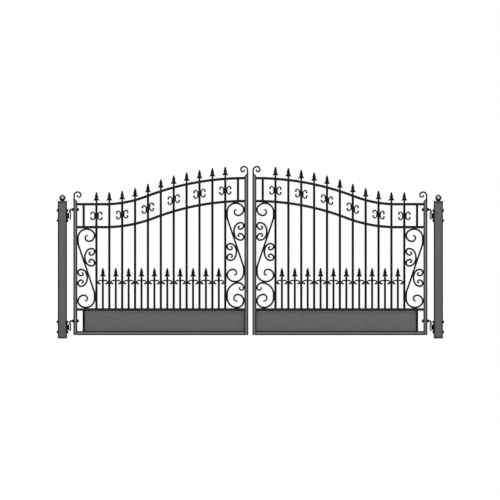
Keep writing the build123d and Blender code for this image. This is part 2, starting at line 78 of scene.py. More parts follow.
LEAF_START, STILE_INNER = span("left_hinge_stile", X)
STILE = STILE_INNER - LEAF_START
LEAF_WIDTH = span("left_meeting_stile", X)[1] - LEAF_START
CLEAR_END = LEAF_WIDTH - STILE
GATE_MIDDLE = (span("left_meeting_stile", X)[1] + span("right_meeting_stile", X)[0]) / 2
GROUND_GAP, RAIL_TOP = span("left_bottom_rail", Z)
PANEL_TOP, PICKET_FOOT = span("left_panel_rail", Z)
HINGE_STILE_TOP = span("left_hinge_stile", Z)[1]
MEETING_STILE_TOP = span("left_meeting_stile", Z)[1]
PICKET = span("left_pickets", Y)[1] * 2
DOG_BAR = span("left_dog_bars", Y)[1] * 2
PICKET_COUNT = 11
first, last = (edge - LEAF_START for edge in span("left_pickets", X))
PICKETS = np.linspace(first + PICKET / 2, last - PICKET / 2, PICKET_COUNT)
PITCH = PICKETS[1] - PICKETS[0]
DOG_BARS = PICKETS[:-1] + PITCH / 2
POST_SIDE = span("left_post", Y)[1] * 2
POST_HEIGHT = span("left_post", Z)[1]
print("leaf width", round(LEAF_WIDTH, 1), "picket pitch", round(PITCH, 2))

# %% [markdown]
# The wave of the gate is the height of two arched rails over `u`. Pickets, spears and small
# scrolls all hang on it, so it is written as a function first. A curve drawn by eye would do
# for the rail alone. Two circles that touch give the same height everywhere, and they are
# what a rolling machine makes.

# %% The curves of the two arched rails
ARCH_HEIGHT = 24.0
ARCH_DEPTH = span("left_upper_arch", Y)[1] * 2
ARCH_HINGE_Z = span("left_upper_arch", Z)[0] + ARCH_HEIGHT / 2
CROWN_Z = span("left_upper_arch", Z)[1] - ARCH_HEIGHT / 2
BAND_DROP = span("left_upper_arch", Z)[0] - span("left_lower_arch", Z)[0]
ARCH_FLAT_END = 311.0
HOLLOW_RADIUS = 1150.0
RISE, RUN = CROWN_Z - ARCH_HINGE_Z, CLEAR_END - ARCH_FLAT_END
ARCH_TURN = 2 * np.arctan(RISE / RUN)
CROWN_RADIUS = RUN / np.sin(ARCH_TURN) - HOLLOW_RADIUS


def arch_height(u, drop=0.0):
    """Height of an arch's middle line over u, for the curve that lies drop below the upper one.

    It is level, then a circle that bends upwards, then one that bends over to a level crown.
    On a circle, the height is that of its centre, less or plus the root of its radius
    squared less the distance from its level point squared.
    """
    u = np.asarray(u, float)
    hollow, crown = HOLLOW_RADIUS + drop, CROWN_RADIUS - drop
    rising = np.clip(u - ARCH_FLAT_END, 0, hollow * np.sin(ARCH_TURN))
    falling = np.clip(CLEAR_END - u, 0, crown * np.sin(ARCH_TURN))
    low = ARCH_HINGE_Z + HOLLOW_RADIUS - np.sqrt(hollow**2 - rising**2)
    high = CROWN_Z - CROWN_RADIUS + np.sqrt(crown**2 - falling**2)
    return np.where(u <= ARCH_FLAT_END + hollow * np.sin(ARCH_TURN), low, high)


print("arch turns", round(float(np.degrees(ARCH_TURN)), 1), "degrees; crown at", round(CROWN_Z))

# %% [markdown]
# ## A kit for bars
# Almost everything on this gate is a bar: straight, bent, or drawn down to a point. A curve
# object with a bevel could draw one, but it can't thin width and depth by different amounts,
# and it doesn't know where its own edges are. So one function carries a rounded rectangle
# along a line. The line is a chain of straight runs and arcs that follow each other without
# a kink, which is how a smith bends a scroll on a jig. A shape is a small bundle of arrays:
# points, squares, triangles, and `arris`, which is 1 along the edges of a bar and 0 in the
# middle of its faces. The paint uses it later on.

# %% Shapes as bundles of arrays
def shape(points, quads, tris=(), arris=None):
    """One closed surface. If its volume comes out negative, its faces are turned round.

    The volume grows with the sum, over all faces, of the slanted boxes whose three edges go
    from the middle of the points to a face's corners.
    """
    points = np.asarray(points, float).reshape(-1, 3)
    quads = np.asarray(quads, int).reshape(-1, 4)
    tris = np.asarray(tris, int).reshape(-1, 3)
    corners = np.vstack([quads[:, :3], quads[:, [0, 2, 3]], tris])
    a, b, c = (points[corners[:, i]] - points.mean(0) for i in range(3))
    if (a * np.cross(b, c)).sum() < 0:
        quads, tris = quads[:, ::-1], tris[:, ::-1]
    arris = np.zeros(len(points)) if arris is None else np.asarray(arris, float).ravel()
    return {"points": points, "quads": quads, "tris": tris, "arris": arris}


def joined(shapes):
    """Several surfaces in one bundle. Face numbers move up by the count of earlier points."""
    starts = np.cumsum([0] + [len(s["points"]) for s in shapes])
    return {
        "points": np.vstack([s["points"] for s in shapes]),
        "quads": np.vstack([s["quads"] + n for s, n in zip(shapes, starts)]),
        "tris": np.vstack([s["tris"] + n for s, n in zip(shapes, starts)]),
        "arris": np.concatenate([s["arris"] for s in shapes]),
    }


def mirrored(s):
    """The same surface on the other side of the gate's middle, its faces turned to match."""
    flipped = s["points"] * [-1, 1, 1] + [2 * GATE_MIDDLE, 0, 0]
    return {**s, "points": flipped, "quads": s["quads"][:, ::-1], "tris": s["tris"][:, ::-1]}


def moved(s, by):
    """The same surface, shifted."""
    return {**s, "points": s["points"] + np.array(by, float)}


def painted_black(s, where):
    """The same surface, black on the points a test picks out: glaze, but painted shade on
    barrels.
    """
    return {**s, "arris": np.where(where(s["points"]), 1.0, s["arris"])}


print("a shape holds", *shape([(0, 0, 0)], []))


# %% Rings joined into a closed surface
def closed_tube(rings, arris=None):
    """A grid of rings, each joined to the next, with a middle point closing each end."""
    rings = np.asarray(rings, float)
    rows, columns = rings.shape[:2]
    row, column = np.arange(rows - 1)[:, None], np.arange(columns)[None, :]
    beside = (column + 1) % columns
    here, above = row * columns, (row + 1) * columns
    quads = np.stack([here + column, here + beside, above + beside, above + column], -1)
    count, top = rows * columns, (rows - 1) * columns
    ring, after = np.arange(columns), (np.arange(columns) + 1) % columns
    low_fan = np.stack([after, ring, np.full(columns, count)], -1)
    high_fan = np.stack([top + ring, top + after, np.full(columns, count + 1)], -1)
    points = np.vstack([rings.reshape(-1, 3), rings[0].mean(0), rings[-1].mean(0)])
    if arris is not None:
        arris = np.append(np.broadcast_to(arris, (rows, columns)).ravel(), [0, 0])
    return shape(points, quads, np.vstack([low_fan, high_fan]), arris)


box_rings = [[(x, y, z) for x, y in ((0, 0), (1, 0), (1, 1), (0, 1))] for z in (0, 1)]
print("a box of two rings has", len(closed_tube(box_rings)["points"]), "points")

# %% Lines made of tangent runs
def chain(start, heading, runs, step=9.0):
    """Points and directions along a chain of tangent runs, from a start point and heading.

    A run is (length, 0) for a straight, or (radius, turn) for an arc that turns by that many
    degrees, to the left when positive. On an arc the direction grows evenly, and the point
    goes round the centre, which lies one radius to the side. step is the turn per point.
    """
    points, angles = [np.array([start], float)], [np.array([np.radians(heading)])]
    for size, turn in runs:
        point, angle = points[-1][-1], angles[-1][-1]
        share = np.arange(1, max(1, int(np.ceil(abs(turn) / step))) + 1)
        share = share / share[-1]
        later = angle + np.radians(turn) * share
        if turn == 0:
            steps = size * share[:, None] * [np.cos(angle), np.sin(angle)]
        else:
            swing = [np.sin(later) - np.sin(angle), np.cos(angle) - np.cos(later)]
            steps = np.sign(turn) * size * np.stack(swing, -1)
        points.append(point + steps)
        angles.append(later)
    return np.vstack(points), np.concatenate(angles)


def lengths(points):
    """The distance travelled at each point of a line, by adding up its steps."""
    return np.append(0, np.cumsum(np.linalg.norm(np.diff(points, axis=0), axis=1)))


quarter = lengths(chain((0, 0), 0, [(100, 90)])[0])[-1]
print("a quarter circle of radius 100 measures", round(float(quarter), 1))

# %% A rounded rectangle
def section(corner, band, steps=2):
    """A rounded rectangle that any width and depth can use, as arrays over its points.

    A point lies at sign * half size + offset, across the bar and through it. Between two
    corners there are two points one band away from them, or one in the middle of the face
    where the band is None.
    """
    rows = []
    signs = [(1, 1), (-1, 1), (-1, -1), (1, -1)]
    for quarter, (across, through) in enumerate(signs):
        turn = np.radians(90 * quarter + np.arange(steps + 1) * 90 / steps)
        for a in turn:
            rows.append((across, corner * (np.cos(a) - across),
                         through, corner * (np.sin(a) - through), 1))
        after_across, after_through = signs[(quarter + 1) % 4]
        crosses = after_across != across
        if band is None:
            rows.append((0 if crosses else across, 0, through if crosses else 0, 0, 0))
        elif crosses:
            rows.append((across, -across * band, through, 0, 0))
            rows.append((after_across, across * band, through, 0, 0))
        else:
            rows.append((across, 0, through, -through * band, 0))
            rows.append((across, 0, after_through, through * band, 0))
    return np.array(rows, float).T


print("a section has", section(2, None).shape[1], "points, and with bands",
      section(2, 5).shape[1])


# %% Bars along a line
def bar(points, angles, width, depth, corner=1.5, band=None, ends=1.0, steps=2):
    """A bar along a line in the plane of the gate, width across the line and depth through it.

    Each ring is the section stood up square to the line: across * sideways + through * Y.
    Near both ends the ring is drawn in by `ends`, so that the end has a soft edge.
    """
    count = len(points)
    width, depth = np.broadcast_to(width, count), np.broadcast_to(depth, count)
    if ends:
        ahead = np.stack([np.cos(angles), np.sin(angles)], -1)
        points = np.vstack([points[:1], points[:1] + ends * ahead[:1], points[1:-1],
                            points[-1:] - ends * ahead[-1:], points[-1:]])
        angles = np.concatenate([angles[:1], angles, angles[-1:]])
        shrink = np.zeros(count + 2)
        shrink[[0, -1]] = 2 * ends
        width = np.concatenate([width[:1], width, width[-1:]]) - shrink
        depth = np.concatenate([depth[:1], depth, depth[-1:]]) - shrink
    across, across_more, through, through_more, arris = section(corner, band, steps)
    side = width[:, None] / 2 * across + across_more
    y = depth[:, None] / 2 * through + through_more
    u = points[:, :1] - side * np.sin(angles)[:, None]
    z = points[:, 1:] + side * np.cos(angles)[:, None]
    return closed_tube(np.stack([u, y, z], -1), arris)


def straight(start, heading, length, width, depth, **more):
    """A bar along a single straight run."""
    return bar(*chain(start, heading, [(length, 0)]), width, depth, **more)


def upright(u, foot, head, side, **more):
    """A square bar that stands in the leaf from one height to another."""
    return straight((u, foot), 90, head - foot, side, side, **more)


print("a plain bar has", len(upright(0, 0, 100, 20)["points"]), "points")

# %% [markdown]
# Bolts, nuts, pins, balls and weld beads are round, so they are turned: a profile goes once
# round an axis. The Screw modifier does the same, but it would need a curve object for every
# bolt, and here all of them go into one mesh. A nut is turned as well, with a radius that
# grows towards its six corners.

# %% Turned pieces
def turned(origin, axis, profile, sides=16, hexagon=False):
    """A profile of (distance along the axis, radius) carried round an axis.

    A hexagon's radius grows towards its corners by one over the cosine of the angle from
    the nearest flat, but only where the profile's third value, if it has one, says so.
    """
    profile = np.array([(*row, 1.0)[:3] for row in profile], float)
    axis = np.array(axis, float)
    helper = np.array([0, 0, 1.0]) if abs(axis[2]) < 0.5 else np.array([1.0, 0, 0])
    one = np.cross(axis, helper)
    other = np.cross(axis, one)
    turn = np.arange(sides) * 2 * np.pi / sides
    growth = np.ones(sides)
    if hexagon:
        growth = 1 / np.cos((turn + np.pi / 6) % (np.pi / 3) - np.pi / 6)
    radius = profile[:, 1:2] * (1 + (growth - 1) * profile[:, 2:3])
    ring = radius[..., None] * (np.cos(turn)[:, None] * one + np.sin(turn)[:, None] * other)
    rings = np.array(origin, float) + profile[:, :1, None] * axis + ring
    return closed_tube(rings)


def ball(middle, radius, sides, rows=7):
    """A ball: its rings' radii follow the sine and their heights the cosine of one angle."""
    down = np.linspace(0.12, np.pi - 0.12, rows)
    profile = np.stack([-np.cos(down) * radius, np.sin(down) * radius], -1)
    return turned(middle, (0, 0, 1), profile, sides)


print("a ball has", len(ball((0, 0, 0), 10, 12)["points"]), "points")


# %% Nuts and bolt heads
def hex_nut(origin, axis, across, thickness, dome=0.0):
    """A chamfered nut, closed by a dome where one is given a height.

    A row is a share of the thickness, a share of the flat's radius, and how six-sided it is.
    """
    flat = across / 2
    rows = [(0, 0.9, 0), (0, 1, 0.6), (0.08, 1, 1), (0.82, 1, 1), (1, 0.97, 0.2)]
    rows = [(thickness * high, flat * wide, corners) for high, wide, corners in rows]
    if dome:
        arc = np.radians([0, 25, 50, 75])
        rows += [(thickness + dome * np.sin(a), flat * 0.86 * np.cos(a), 0) for a in arc]
    else:
        rows += [(thickness, flat * 0.6, 0)]
    return turned(origin, axis, rows, sides=24, hexagon=True)


def fastener(face, out, z, washer, nut, dome, sides=16, sunk=0.0):
    """A washer and a nut or bolt head on an upright face.

    face is its place along X, and out is 1 or -1, the way that it looks. washer holds a
    radius and a thickness, nut a width across flats and a thickness. The nut may be sunk a
    little into the washer.
    """
    radius, thickness = washer
    disc = turned((face, 0, z), (out, 0, 0), [(0, radius), (thickness, radius - 0.5)], sides)
    return [disc, hex_nut((face + out * (thickness - sunk), 0, z), (out, 0, 0), *nut, dome)]


print("a nut has", len(hex_nut((0, 0, 0), (1, 0, 0), 20, 8)["quads"]), "squares")

# %% [markdown]
# ## From arrays to pieces
# Each bundle of arrays becomes one mesh. Edit mode's operators could build it face by face,
# but foreach_set copies a whole array at once. The points are already where they belong on
# the gate, so every object stays at the origin. A leaf's pieces are drawn once and made
# twice, the second time mirrored, and each rides on its own leaf. A Displace modifier adds
# the thickness of the coat, since it pushes every point out along its normal.

# %% Making a piece
SHARP_ANGLE = 40                # degrees, past which an edge is shaded as a sharp one
# How far a baked powder coat swells a piece, in millimetres on each side, by material slot.
COAT_THICKNESS = {"posts": 1.0, "frame": 1.0, "bars": 1.0, "scrolls": 1.0, "castings": 0.5}


def piece(name, body, slot, material, shapes, replaces=()):
    """One mesh object from a list of shapes, in metres, riding on a body."""
    whole = joined(shapes)
    mesh = bpy.data.meshes.new(name)
    mesh.vertices.add(len(whole["points"]))
    mesh.vertices.foreach_set("co", (whole["points"] * MM).ravel())
    corners = np.concatenate([whole["quads"].ravel(), whole["tris"].ravel()])
    sizes = np.repeat([4, 3], [len(whole["quads"]), len(whole["tris"])])
    mesh.loops.add(len(corners))
    mesh.loops.foreach_set("vertex_index", corners)
    mesh.polygons.add(len(sizes))
    mesh.polygons.foreach_set("loop_start", np.cumsum(sizes) - sizes)
    mesh.polygons.foreach_set("use_smooth", np.ones(len(sizes), bool))
    mesh.update(calc_edges=True)
    mesh.set_sharp_from_angle(angle=np.radians(SHARP_ANGLE))
    mesh.attributes.new("arris", "FLOAT", "POINT").data.foreach_set("value", whole["arris"])
    mesh.materials.append(material)
    made = bpy.data.objects.new(name, mesh)
    bpy.context.scene.collection.objects.link(made)
    if slot in COAT_THICKNESS:
        swelling = made.modifiers.new("coat_thickness", "DISPLACE")
        swelling.mid_level, swelling.strength = 0.0, COAT_THICKNESS[slot] * MM
    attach(made, body)
    if replaces:
        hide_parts(*replaces)
    print(name, len(sizes), "faces")


def on_both_leaves(name, slot, material, shapes, nodes=()):
    """A piece of each leaf, drawn in leaf coordinates: the left one, and its mirror image."""
    left = [moved(s, (LEAF_START, 0, 0)) for s in shapes]
    for side, made in (("left", left), ("right", [mirrored(s) for s in left])):
        stands_for = [f"{side}_{node}" for node in nodes]
        piece(f"{side}_{name}", f"{side}_leaf", slot, material, made, stands_for)


print("coat thickness by slot, in millimetres", COAT_THICKNESS)

# %% [markdown]
# ## Paint
# The whole gate is powder coated: graphite on the wide faces of posts, frame and kick panel,
# and black on bars, scrolls and castings. A finisher brushes black glaze along the arrises
# of the wide faces. Painted image textures would need every piece unwrapped. Noise on Object
# coordinates needs nothing, and it stays sharp at any distance. Four effects are shared, so
# each is a node group that gives out only a colour, a mask or a height: the grain of the
# coat, the line along an arris, hammer marks and yard dust. The Principled shader stays in
# each material, with its own plain numbers.

# %% Helpers for node groups
def new_group(name, inputs, outputs):
    """A shader node group with named sockets. Returns it with its input and output nodes."""
    tree = bpy.data.node_groups.new(name, "ShaderNodeTree")
    for label, kind, value in inputs:
        socket = tree.interface.new_socket(label, in_out="INPUT", socket_type=kind)
        socket.default_value = value
    for label, kind in outputs:
        tree.interface.new_socket(label, in_out="OUTPUT", socket_type=kind)
    return tree, tree.nodes.new("NodeGroupInput"), tree.nodes.new("NodeGroupOutput")


def node(tree, kind, links=(), **settings):
    """A node with its settings, and links from (its socket, other node, other's socket)."""
    made = tree.nodes.new("ShaderNode" + kind)
    for key, value in settings.items():
        if key in made.inputs:
            made.inputs[key].default_value = value
        else:
            setattr(made, key.lower(), value)
    for socket, other, output in links:
        tree.links.new(other.outputs[output], made.inputs[socket])
    return made


VALUE, COLOUR = "NodeSocketFloat", "NodeSocketColor"
print("a group's sockets are", VALUE, "or", COLOUR)

# %% [markdown]
# A powder coat has a fine grain, like the peel of an orange, and it never lies equally thick,
# which shows as a soft mottle. Two noises give both, one very fine and one broad.

# %% Grain of the coat
coat_grain, given, out = new_group(
    "coat grain",
    [("Fine", VALUE, 420.0), ("Broad", VALUE, 22.0)],
    [("Height", VALUE), ("Mottle", VALUE)],
)
place = node(coat_grain, "TexCoord")
fine = node(coat_grain, "TexNoise", [("Vector", place, "Object"), ("Scale", given, "Fine")],
            Detail=2.0, Roughness=0.5)
broad = node(coat_grain, "TexNoise", [("Vector", place, "Object"), ("Scale", given, "Broad")],
             Detail=5.0, Roughness=0.62)
coat_grain.links.new(fine.outputs["Fac"], out.inputs["Height"])
coat_grain.links.new(broad.outputs["Fac"], out.inputs["Mottle"])
print(coat_grain.name, "made of", len(coat_grain.nodes), "nodes")

# %% [markdown]
# The glaze is brushed on by hand, so its line wanders. The `arris` attribute says how close a
# point is to an edge, a noise shifts it a little, and a smooth step turns it into a mask that
# mixes the two colours. The Bevel node or Pointiness could find edges too, but neither knows
# the flat bands that are wanted here, and Pointiness needs a dense mesh.

# %% Black line along an arris
# This group also paints the panel's highlight line, the balls' highlight and the barrels' shade.
WANDER = 0.24                   # how much of the mask's way the brush strays

arris_line, given, out = new_group(
    "arris line",
    [("Face", COLOUR, (0.1, 0.1, 0.1, 1)), ("Edge", COLOUR, (0.01, 0.01, 0.01, 1)),
     ("From", VALUE, 0.1), ("To", VALUE, 0.4)],
    [("Colour", COLOUR)],
)
closeness = node(arris_line, "Attribute", attribute_name="arris")
place = node(arris_line, "TexCoord")
brush = node(arris_line, "TexNoise", [("Vector", place, "Object")], Scale=60.0, Detail=3.0)
wander = node(arris_line, "Math", [(0, brush, "Fac")], operation="MULTIPLY_ADD")
wander.inputs[1].default_value = WANDER
wander.inputs[2].default_value = -WANDER / 2
wavy = node(arris_line, "Math", [(0, closeness, "Fac"), (1, wander, "Value")], operation="ADD")
mask = node(arris_line, "MapRange",
            [("Value", wavy, "Value"), ("From Min", given, "From"), ("From Max", given, "To")],
            interpolation_type="SMOOTHSTEP")
both = node(arris_line, "MixRGB",
            [("Fac", mask, "Result"), ("Color1", given, "Face"), ("Color2", given, "Edge")])
arris_line.links.new(both.outputs["Color"], out.inputs["Colour"])
print(arris_line.name, "made of", len(arris_line.nodes), "nodes")

# %% [markdown]
# Forged bar keeps the dents of the hammer. A smooth Voronoi pattern looks like them: its
# distance is low in the middle of a dent and high on the ridges between dents, where hands
# and weather thin the coat. Sculpting them in would take millions of faces, so they are a
# height for a Bump node, and the ridges are a mask.

# %% Hammer marks
SCALE_DEPTH = 0.12              # of forge scale, against the depth of a dent
RIDGE = {"From Min": 0.42, "From Max": 0.7}

hammer_marks, given, out = new_group(
    "hammer marks", [("Size", VALUE, 70.0)], [("Height", VALUE), ("Ridge", VALUE)]
)
place = node(hammer_marks, "TexCoord")
dents = node(hammer_marks, "TexVoronoi", [("Vector", place, "Object"), ("Scale", given, "Size")],
             feature="SMOOTH_F1", Smoothness=0.6)
scale = node(hammer_marks, "TexNoise", [("Vector", place, "Object")], Scale=900.0, Detail=1.0)
height = node(hammer_marks, "Math", [(0, scale, "Fac"), (2, dents, "Distance")],
              operation="MULTIPLY_ADD")
height.inputs[1].default_value = SCALE_DEPTH
ridge = node(hammer_marks, "MapRange", [("Value", dents, "Distance")], **RIDGE)
hammer_marks.links.new(height.outputs["Value"], out.inputs["Height"])
hammer_marks.links.new(ridge.outputs["Result"], out.inputs["Ridge"])
print(hammer_marks.name, "made of", len(hammer_marks.nodes), "nodes")

# %% [markdown]
# Dust settles on what faces up, and rain splashes it on what is low. So its mask is the
# greater of two ramps, one over the normal's Z and one over the height, broken up by noise.

# %% Yard dust
yard_dust, given, out = new_group(
    "yard dust", [("Amount", VALUE, 0.3), ("Reach", VALUE, 0.5)], [("Mask", VALUE)]
)
place = node(yard_dust, "TexCoord")
height = node(yard_dust, "SeparateXYZ", [("Vector", place, "Object")])
splash = node(yard_dust, "MapRange", [("Value", height, "Z"), ("From Max", given, "Reach")],
              **{"To Min": 1.0, "To Max": 0.0})
facing = node(yard_dust, "NewGeometry")
normal = node(yard_dust, "SeparateXYZ", [("Vector", facing, "Normal")])
lying = node(yard_dust, "MapRange", [("Value", normal, "Z")], **{"From Min": 0.5})
patches = node(yard_dust, "TexNoise", [("Vector", place, "Object")], Scale=9.0, Detail=6.0)
thick = node(yard_dust, "MapRange", [("Value", patches, "Fac")],
             **{"From Min": 0.4, "From Max": 0.7})
settled = node(yard_dust, "Math", [(0, splash, "Result"), (1, lying, "Result")],
               operation="MAXIMUM")
broken = node(yard_dust, "Math", [(0, settled, "Value"), (1, thick, "Result")],
              operation="MULTIPLY")
weak = node(yard_dust, "Math", [(0, broken, "Value"), (1, given, "Amount")],
            operation="MULTIPLY")
yard_dust.links.new(weak.outputs["Value"], out.inputs["Mask"])
print(yard_dust.name, "made of", len(yard_dust.nodes), "nodes")

# %% [markdown]
# A coat is then a few numbers: the colour of its faces, the colour of its arrises, how rough
# it is, how strong its grain and its hammer marks are, how much dust it has caught, and how
# far its ridges are rubbed. The numbers that are the same all over are set on the Principled
# shader's own sockets. A material could be built by hand for each finish, but one function
# keeps them alike.

# %% Mixing a coat
DUST = (0.16, 0.155, 0.145, 1)
RUBBED = (0.075, 0.075, 0.077, 1)  # where hands and weather have thinned the black
NOISE = {"From Min": 0.3, "From Max": 0.7}  # nearly all of a noise lies between these
ROUGHNESS_SPREAD = 0.08         # more and less than a coat's own roughness
GRAIN_DEPTH, DENT_DEPTH = 0.0006, 0.002     # metres


def coat(name, face, edge, roughness=0.5, grain=0.15, marks=0.0, dust=0.15, metal=0.0,
         gloss=0.22, mottle=0.12, reach=0.45, rub=0.0):
    """A paint or metal finish. Colours are levels of light, from 0 to 1.

    face and edge are mixed by the arris mask, and mottle makes that lighter and darker. The
    ridges are then mixed with the rubbed colour, and all of it with dust, which is rough.
    """
    material = bpy.data.materials.new(name)
    material.use_nodes = True
    tree = material.node_tree
    shader = tree.nodes["Principled BSDF"]
    shader.inputs["Specular IOR Level"].default_value = gloss
    shader.inputs["Metallic"].default_value = metal

    def placed(group, **values):
        """A node group put into this material, with its own values."""
        made = tree.nodes.new("ShaderNodeGroup")
        made.node_tree = group
        for key, value in values.items():
            made.inputs[key].default_value = value
        return made

    line = placed(arris_line, Face=(*face, 1), Edge=(*edge, 1))
    texture = placed(coat_grain)
    dents = placed(hammer_marks)
    settled = placed(yard_dust, Amount=dust, Reach=reach)
    shade = node(tree, "MapRange", [("Value", texture, "Mottle")],
                 **NOISE, **{"To Min": 1 - mottle, "To Max": 1 + mottle})
    mottled = node(tree, "MixRGB", [("Color1", line, "Colour"), ("Color2", shade, "Result")],
                   blend_type="MULTIPLY", Fac=1.0)
    thin = node(tree, "Math", [(0, dents, "Ridge")], operation="MULTIPLY")
    thin.inputs[1].default_value = rub
    rubbed = node(tree, "MixRGB", [("Fac", thin, "Value"), ("Color1", mottled, "Color")],
                  Color2=RUBBED)
    dusty = node(tree, "MixRGB", [("Fac", settled, "Mask"), ("Color1", rubbed, "Color")],
                 Color2=DUST)
    tree.links.new(dusty.outputs["Color"], shader.inputs["Base Color"])
    rough = node(tree, "MapRange", [("Value", texture, "Mottle")], **NOISE,
                 **{"To Min": roughness - ROUGHNESS_SPREAD,
                    "To Max": roughness + ROUGHNESS_SPREAD})
    rougher = node(tree, "Math", [(0, settled, "Mask"), (1, rough, "Result")], operation="ADD")
    tree.links.new(rougher.outputs["Value"], shader.inputs["Roughness"])
    fine = node(tree, "Bump", [("Height", texture, "Height")], Strength=grain,
                Distance=GRAIN_DEPTH)
    hammered = node(tree, "Bump", [("Height", dents, "Height"), ("Normal", fine, "Normal")],
                    Strength=marks, Distance=DENT_DEPTH)
    tree.links.new(hammered.outputs["Normal"], shader.inputs["Normal"])
    print("coat", name, "face level", face[0])
    return material


def grey(level):
    """A grey that leans a little to blue, as graphite and black coats do."""
    return (level, level, level * 1.03)


# %% The coats of this gate
GRAPHITE, GLAZE, BLACK, BLACK_FACE = grey(0.112), grey(0.003), grey(0.002), grey(0.004)
post_coat = coat("graphite_post_coat", GRAPHITE, GLAZE, mottle=0.16, gloss=0.12, dust=0.1)
frame_coat = coat("graphite_frame_coat", grey(0.17), GLAZE, gloss=0.12, dust=0.1)
rail_coat = coat("dark_graphite_rail_coat", grey(0.045), GLAZE, gloss=0.12, dust=0.06)
# Its paler edge colour, grey(0.165), is a painted highlight along the sheet's edges.
panel_coat = coat("graphite_panel_coat", grey(0.127), grey(0.165), mottle=0.1, reach=0.25,
                  gloss=0.12)
arch_coat = coat("black_rolled_coat", grey(0.008), BLACK, roughness=0.4, marks=0.6, gloss=0.12,
                 dust=0.06, rub=0.2)
bar_coat = coat("black_bar_coat", BLACK_FACE, BLACK, roughness=0.4, marks=0.6, gloss=0.09,
                dust=0.05, rub=0.12)
scroll_coat = coat("black_forged_coat", BLACK, BLACK, roughness=0.36, marks=1.0, gloss=0.09,
                   dust=0.03, rub=0.12)
cast_coat = coat("black_casting_coat", BLACK, BLACK, grain=0.8, roughness=0.5, gloss=0.09,
                 dust=0.05, rub=0.08)
cap_coat = coat("graphite_cap_coat", GRAPHITE, GLAZE, grain=0.5, gloss=0.12, dust=0.05)
# Its grey face colour is a painted highlight: a pale spot on the black ball.
ball_highlight_coat = coat("black_ball_painted_highlight", grey(0.4), BLACK, roughness=0.2, gloss=0.25,
                 dust=0.04)
steel_black = coat("blackened_hardware", grey(0.004), BLACK, roughness=0.4, dust=0.05,
                   gloss=0.12)
# Its black edge colour is painted shade on the barrel's left and right sides.
zinc = coat("zinc_barrel_with_painted_shade", grey(0.95), BLACK, roughness=0.18, metal=1.0, gloss=0.5,
            dust=0.04, mottle=0.05)

# %% [markdown]
# ## Posts and caps
# The posts are cold formed square tube, so their corners are round. A cube with a Bevel
# modifier would give the same outline. A bar along an upright line is used, because its
# section already has points one band away from each corner, and they hold the line of black
# glaze. Two more rings hold the line round the foot.

# %% Posts
POST_CORNER, POST_BAND = 7.0, 14.0
FOOT_LINE = 10.0                # black glaze round the foot
FADE = 4.0                      # from the last black ring to the first plain one
IN_CAP = 1.0                    # the tube stops this far under the cap's plate


def post_tube():
    """A square tube with extra rings near its foot, where the glaze runs round it."""
    runs = [(FOOT_LINE, 0), (FADE, 0), (POST_HEIGHT - IN_CAP - FADE - FOOT_LINE, 0)]
    tube = bar(*chain((0, 0), 90, runs), POST_SIDE, POST_SIDE, corner=POST_CORNER,
               band=POST_BAND, steps=4)
    return painted_black(tube, lambda at: at[:, Z] < FOOT_LINE + 1)


tubes = [post_tube()]
piece("left_post_tube", "posts", "posts", post_coat, tubes, ["left_post"])
piece("right_post_tube", "posts", "posts", post_coat, [mirrored(s) for s in tubes],
      ["right_post"])

# %% [markdown]
# A cast cap slips over each post: a square skirt with a black lip, a sloping plate that runs
# up into a hollow neck, and a ball. A casting could be modelled as one skin with loop cuts,
# but only the skirt is square, so it is a short bar, and the rest is turned. The ball keeps
# the raised seam of its mould: a bell curve added to the radius round its middle. It is
# black all over but for a round pale spot on its front and its back, a painted highlight.
# The spot is painted with the `arris` attribute, by the distance from its middle.

# %% Caps
CAP_FOOT, CAP_SIDE = span("post_caps", Z)[0], POST_SIDE + 4
CAP_TOP = CAP_FOOT + 18
LIP, LIP_FADE, SKIRT = 7.0, 2.0, 16.0       # the skirt's black lower edge, and its height
SLOPE = [(-2.2, 43), (-0.5, 40), (1.5, 21), (4, 17), (9, 16), (12, 19)]  # above the top, radius
BALL_RADIUS = 32.0
BALL_MIDDLE = span("post_caps", Z)[1] - BALL_RADIUS
SEAM_HEIGHT, SEAM_WIDTH = 0.5, 3.0          # millimetres, degrees
HIGHLIGHT_RADIUS, HIGHLIGHT_LIFT, HIGHLIGHT_EDGE = 14.0, 5.0, 0.8     # the painted highlight's size, place and edge


def on_both_posts(shapes):
    """Shapes for the left post, and their mirror images for the right one."""
    return shapes + [mirrored(s) for s in shapes]


skirt_runs = [(LIP, 0), (LIP_FADE, 0), (SKIRT - LIP - LIP_FADE, 0)]
skirt = bar(*chain((0, CAP_FOOT), 90, skirt_runs), CAP_SIDE, CAP_SIDE, corner=POST_CORNER,
            band=POST_BAND, steps=4, ends=1.2)
skirt = painted_black(skirt, lambda at: at[:, Z] < CAP_FOOT + LIP + 1)
neck = turned((0, 0, CAP_TOP), (0, 0, 1), SLOPE, sides=32)
neck = painted_black(neck, lambda at: at[:, Z] > CAP_FOOT)
down = np.linspace(4, 176, 19)
seam = SEAM_HEIGHT * np.exp(-((down - 90) / SEAM_WIDTH) ** 2)
around, along = np.sin(np.radians(down)) * BALL_RADIUS, -np.cos(np.radians(down)) * BALL_RADIUS
sphere = turned((0, 0, BALL_MIDDLE), (0, 0, 1), np.stack([along, around + seam], -1), sides=32)
# The pale spot is a painted highlight; round it, the ball is black.
across, above = sphere["points"][:, X], sphere["points"][:, Z] - BALL_MIDDLE - HIGHLIGHT_LIFT
sphere["arris"] = np.clip(np.hypot(across, above) / HIGHLIGHT_RADIUS - HIGHLIGHT_EDGE, 0, 1)
piece("cast_caps", "posts", "castings", cap_coat, on_both_posts([skirt, neck]), ["post_caps"])
piece("cap_balls", "posts", "castings", ball_highlight_coat, on_both_posts([sphere]))
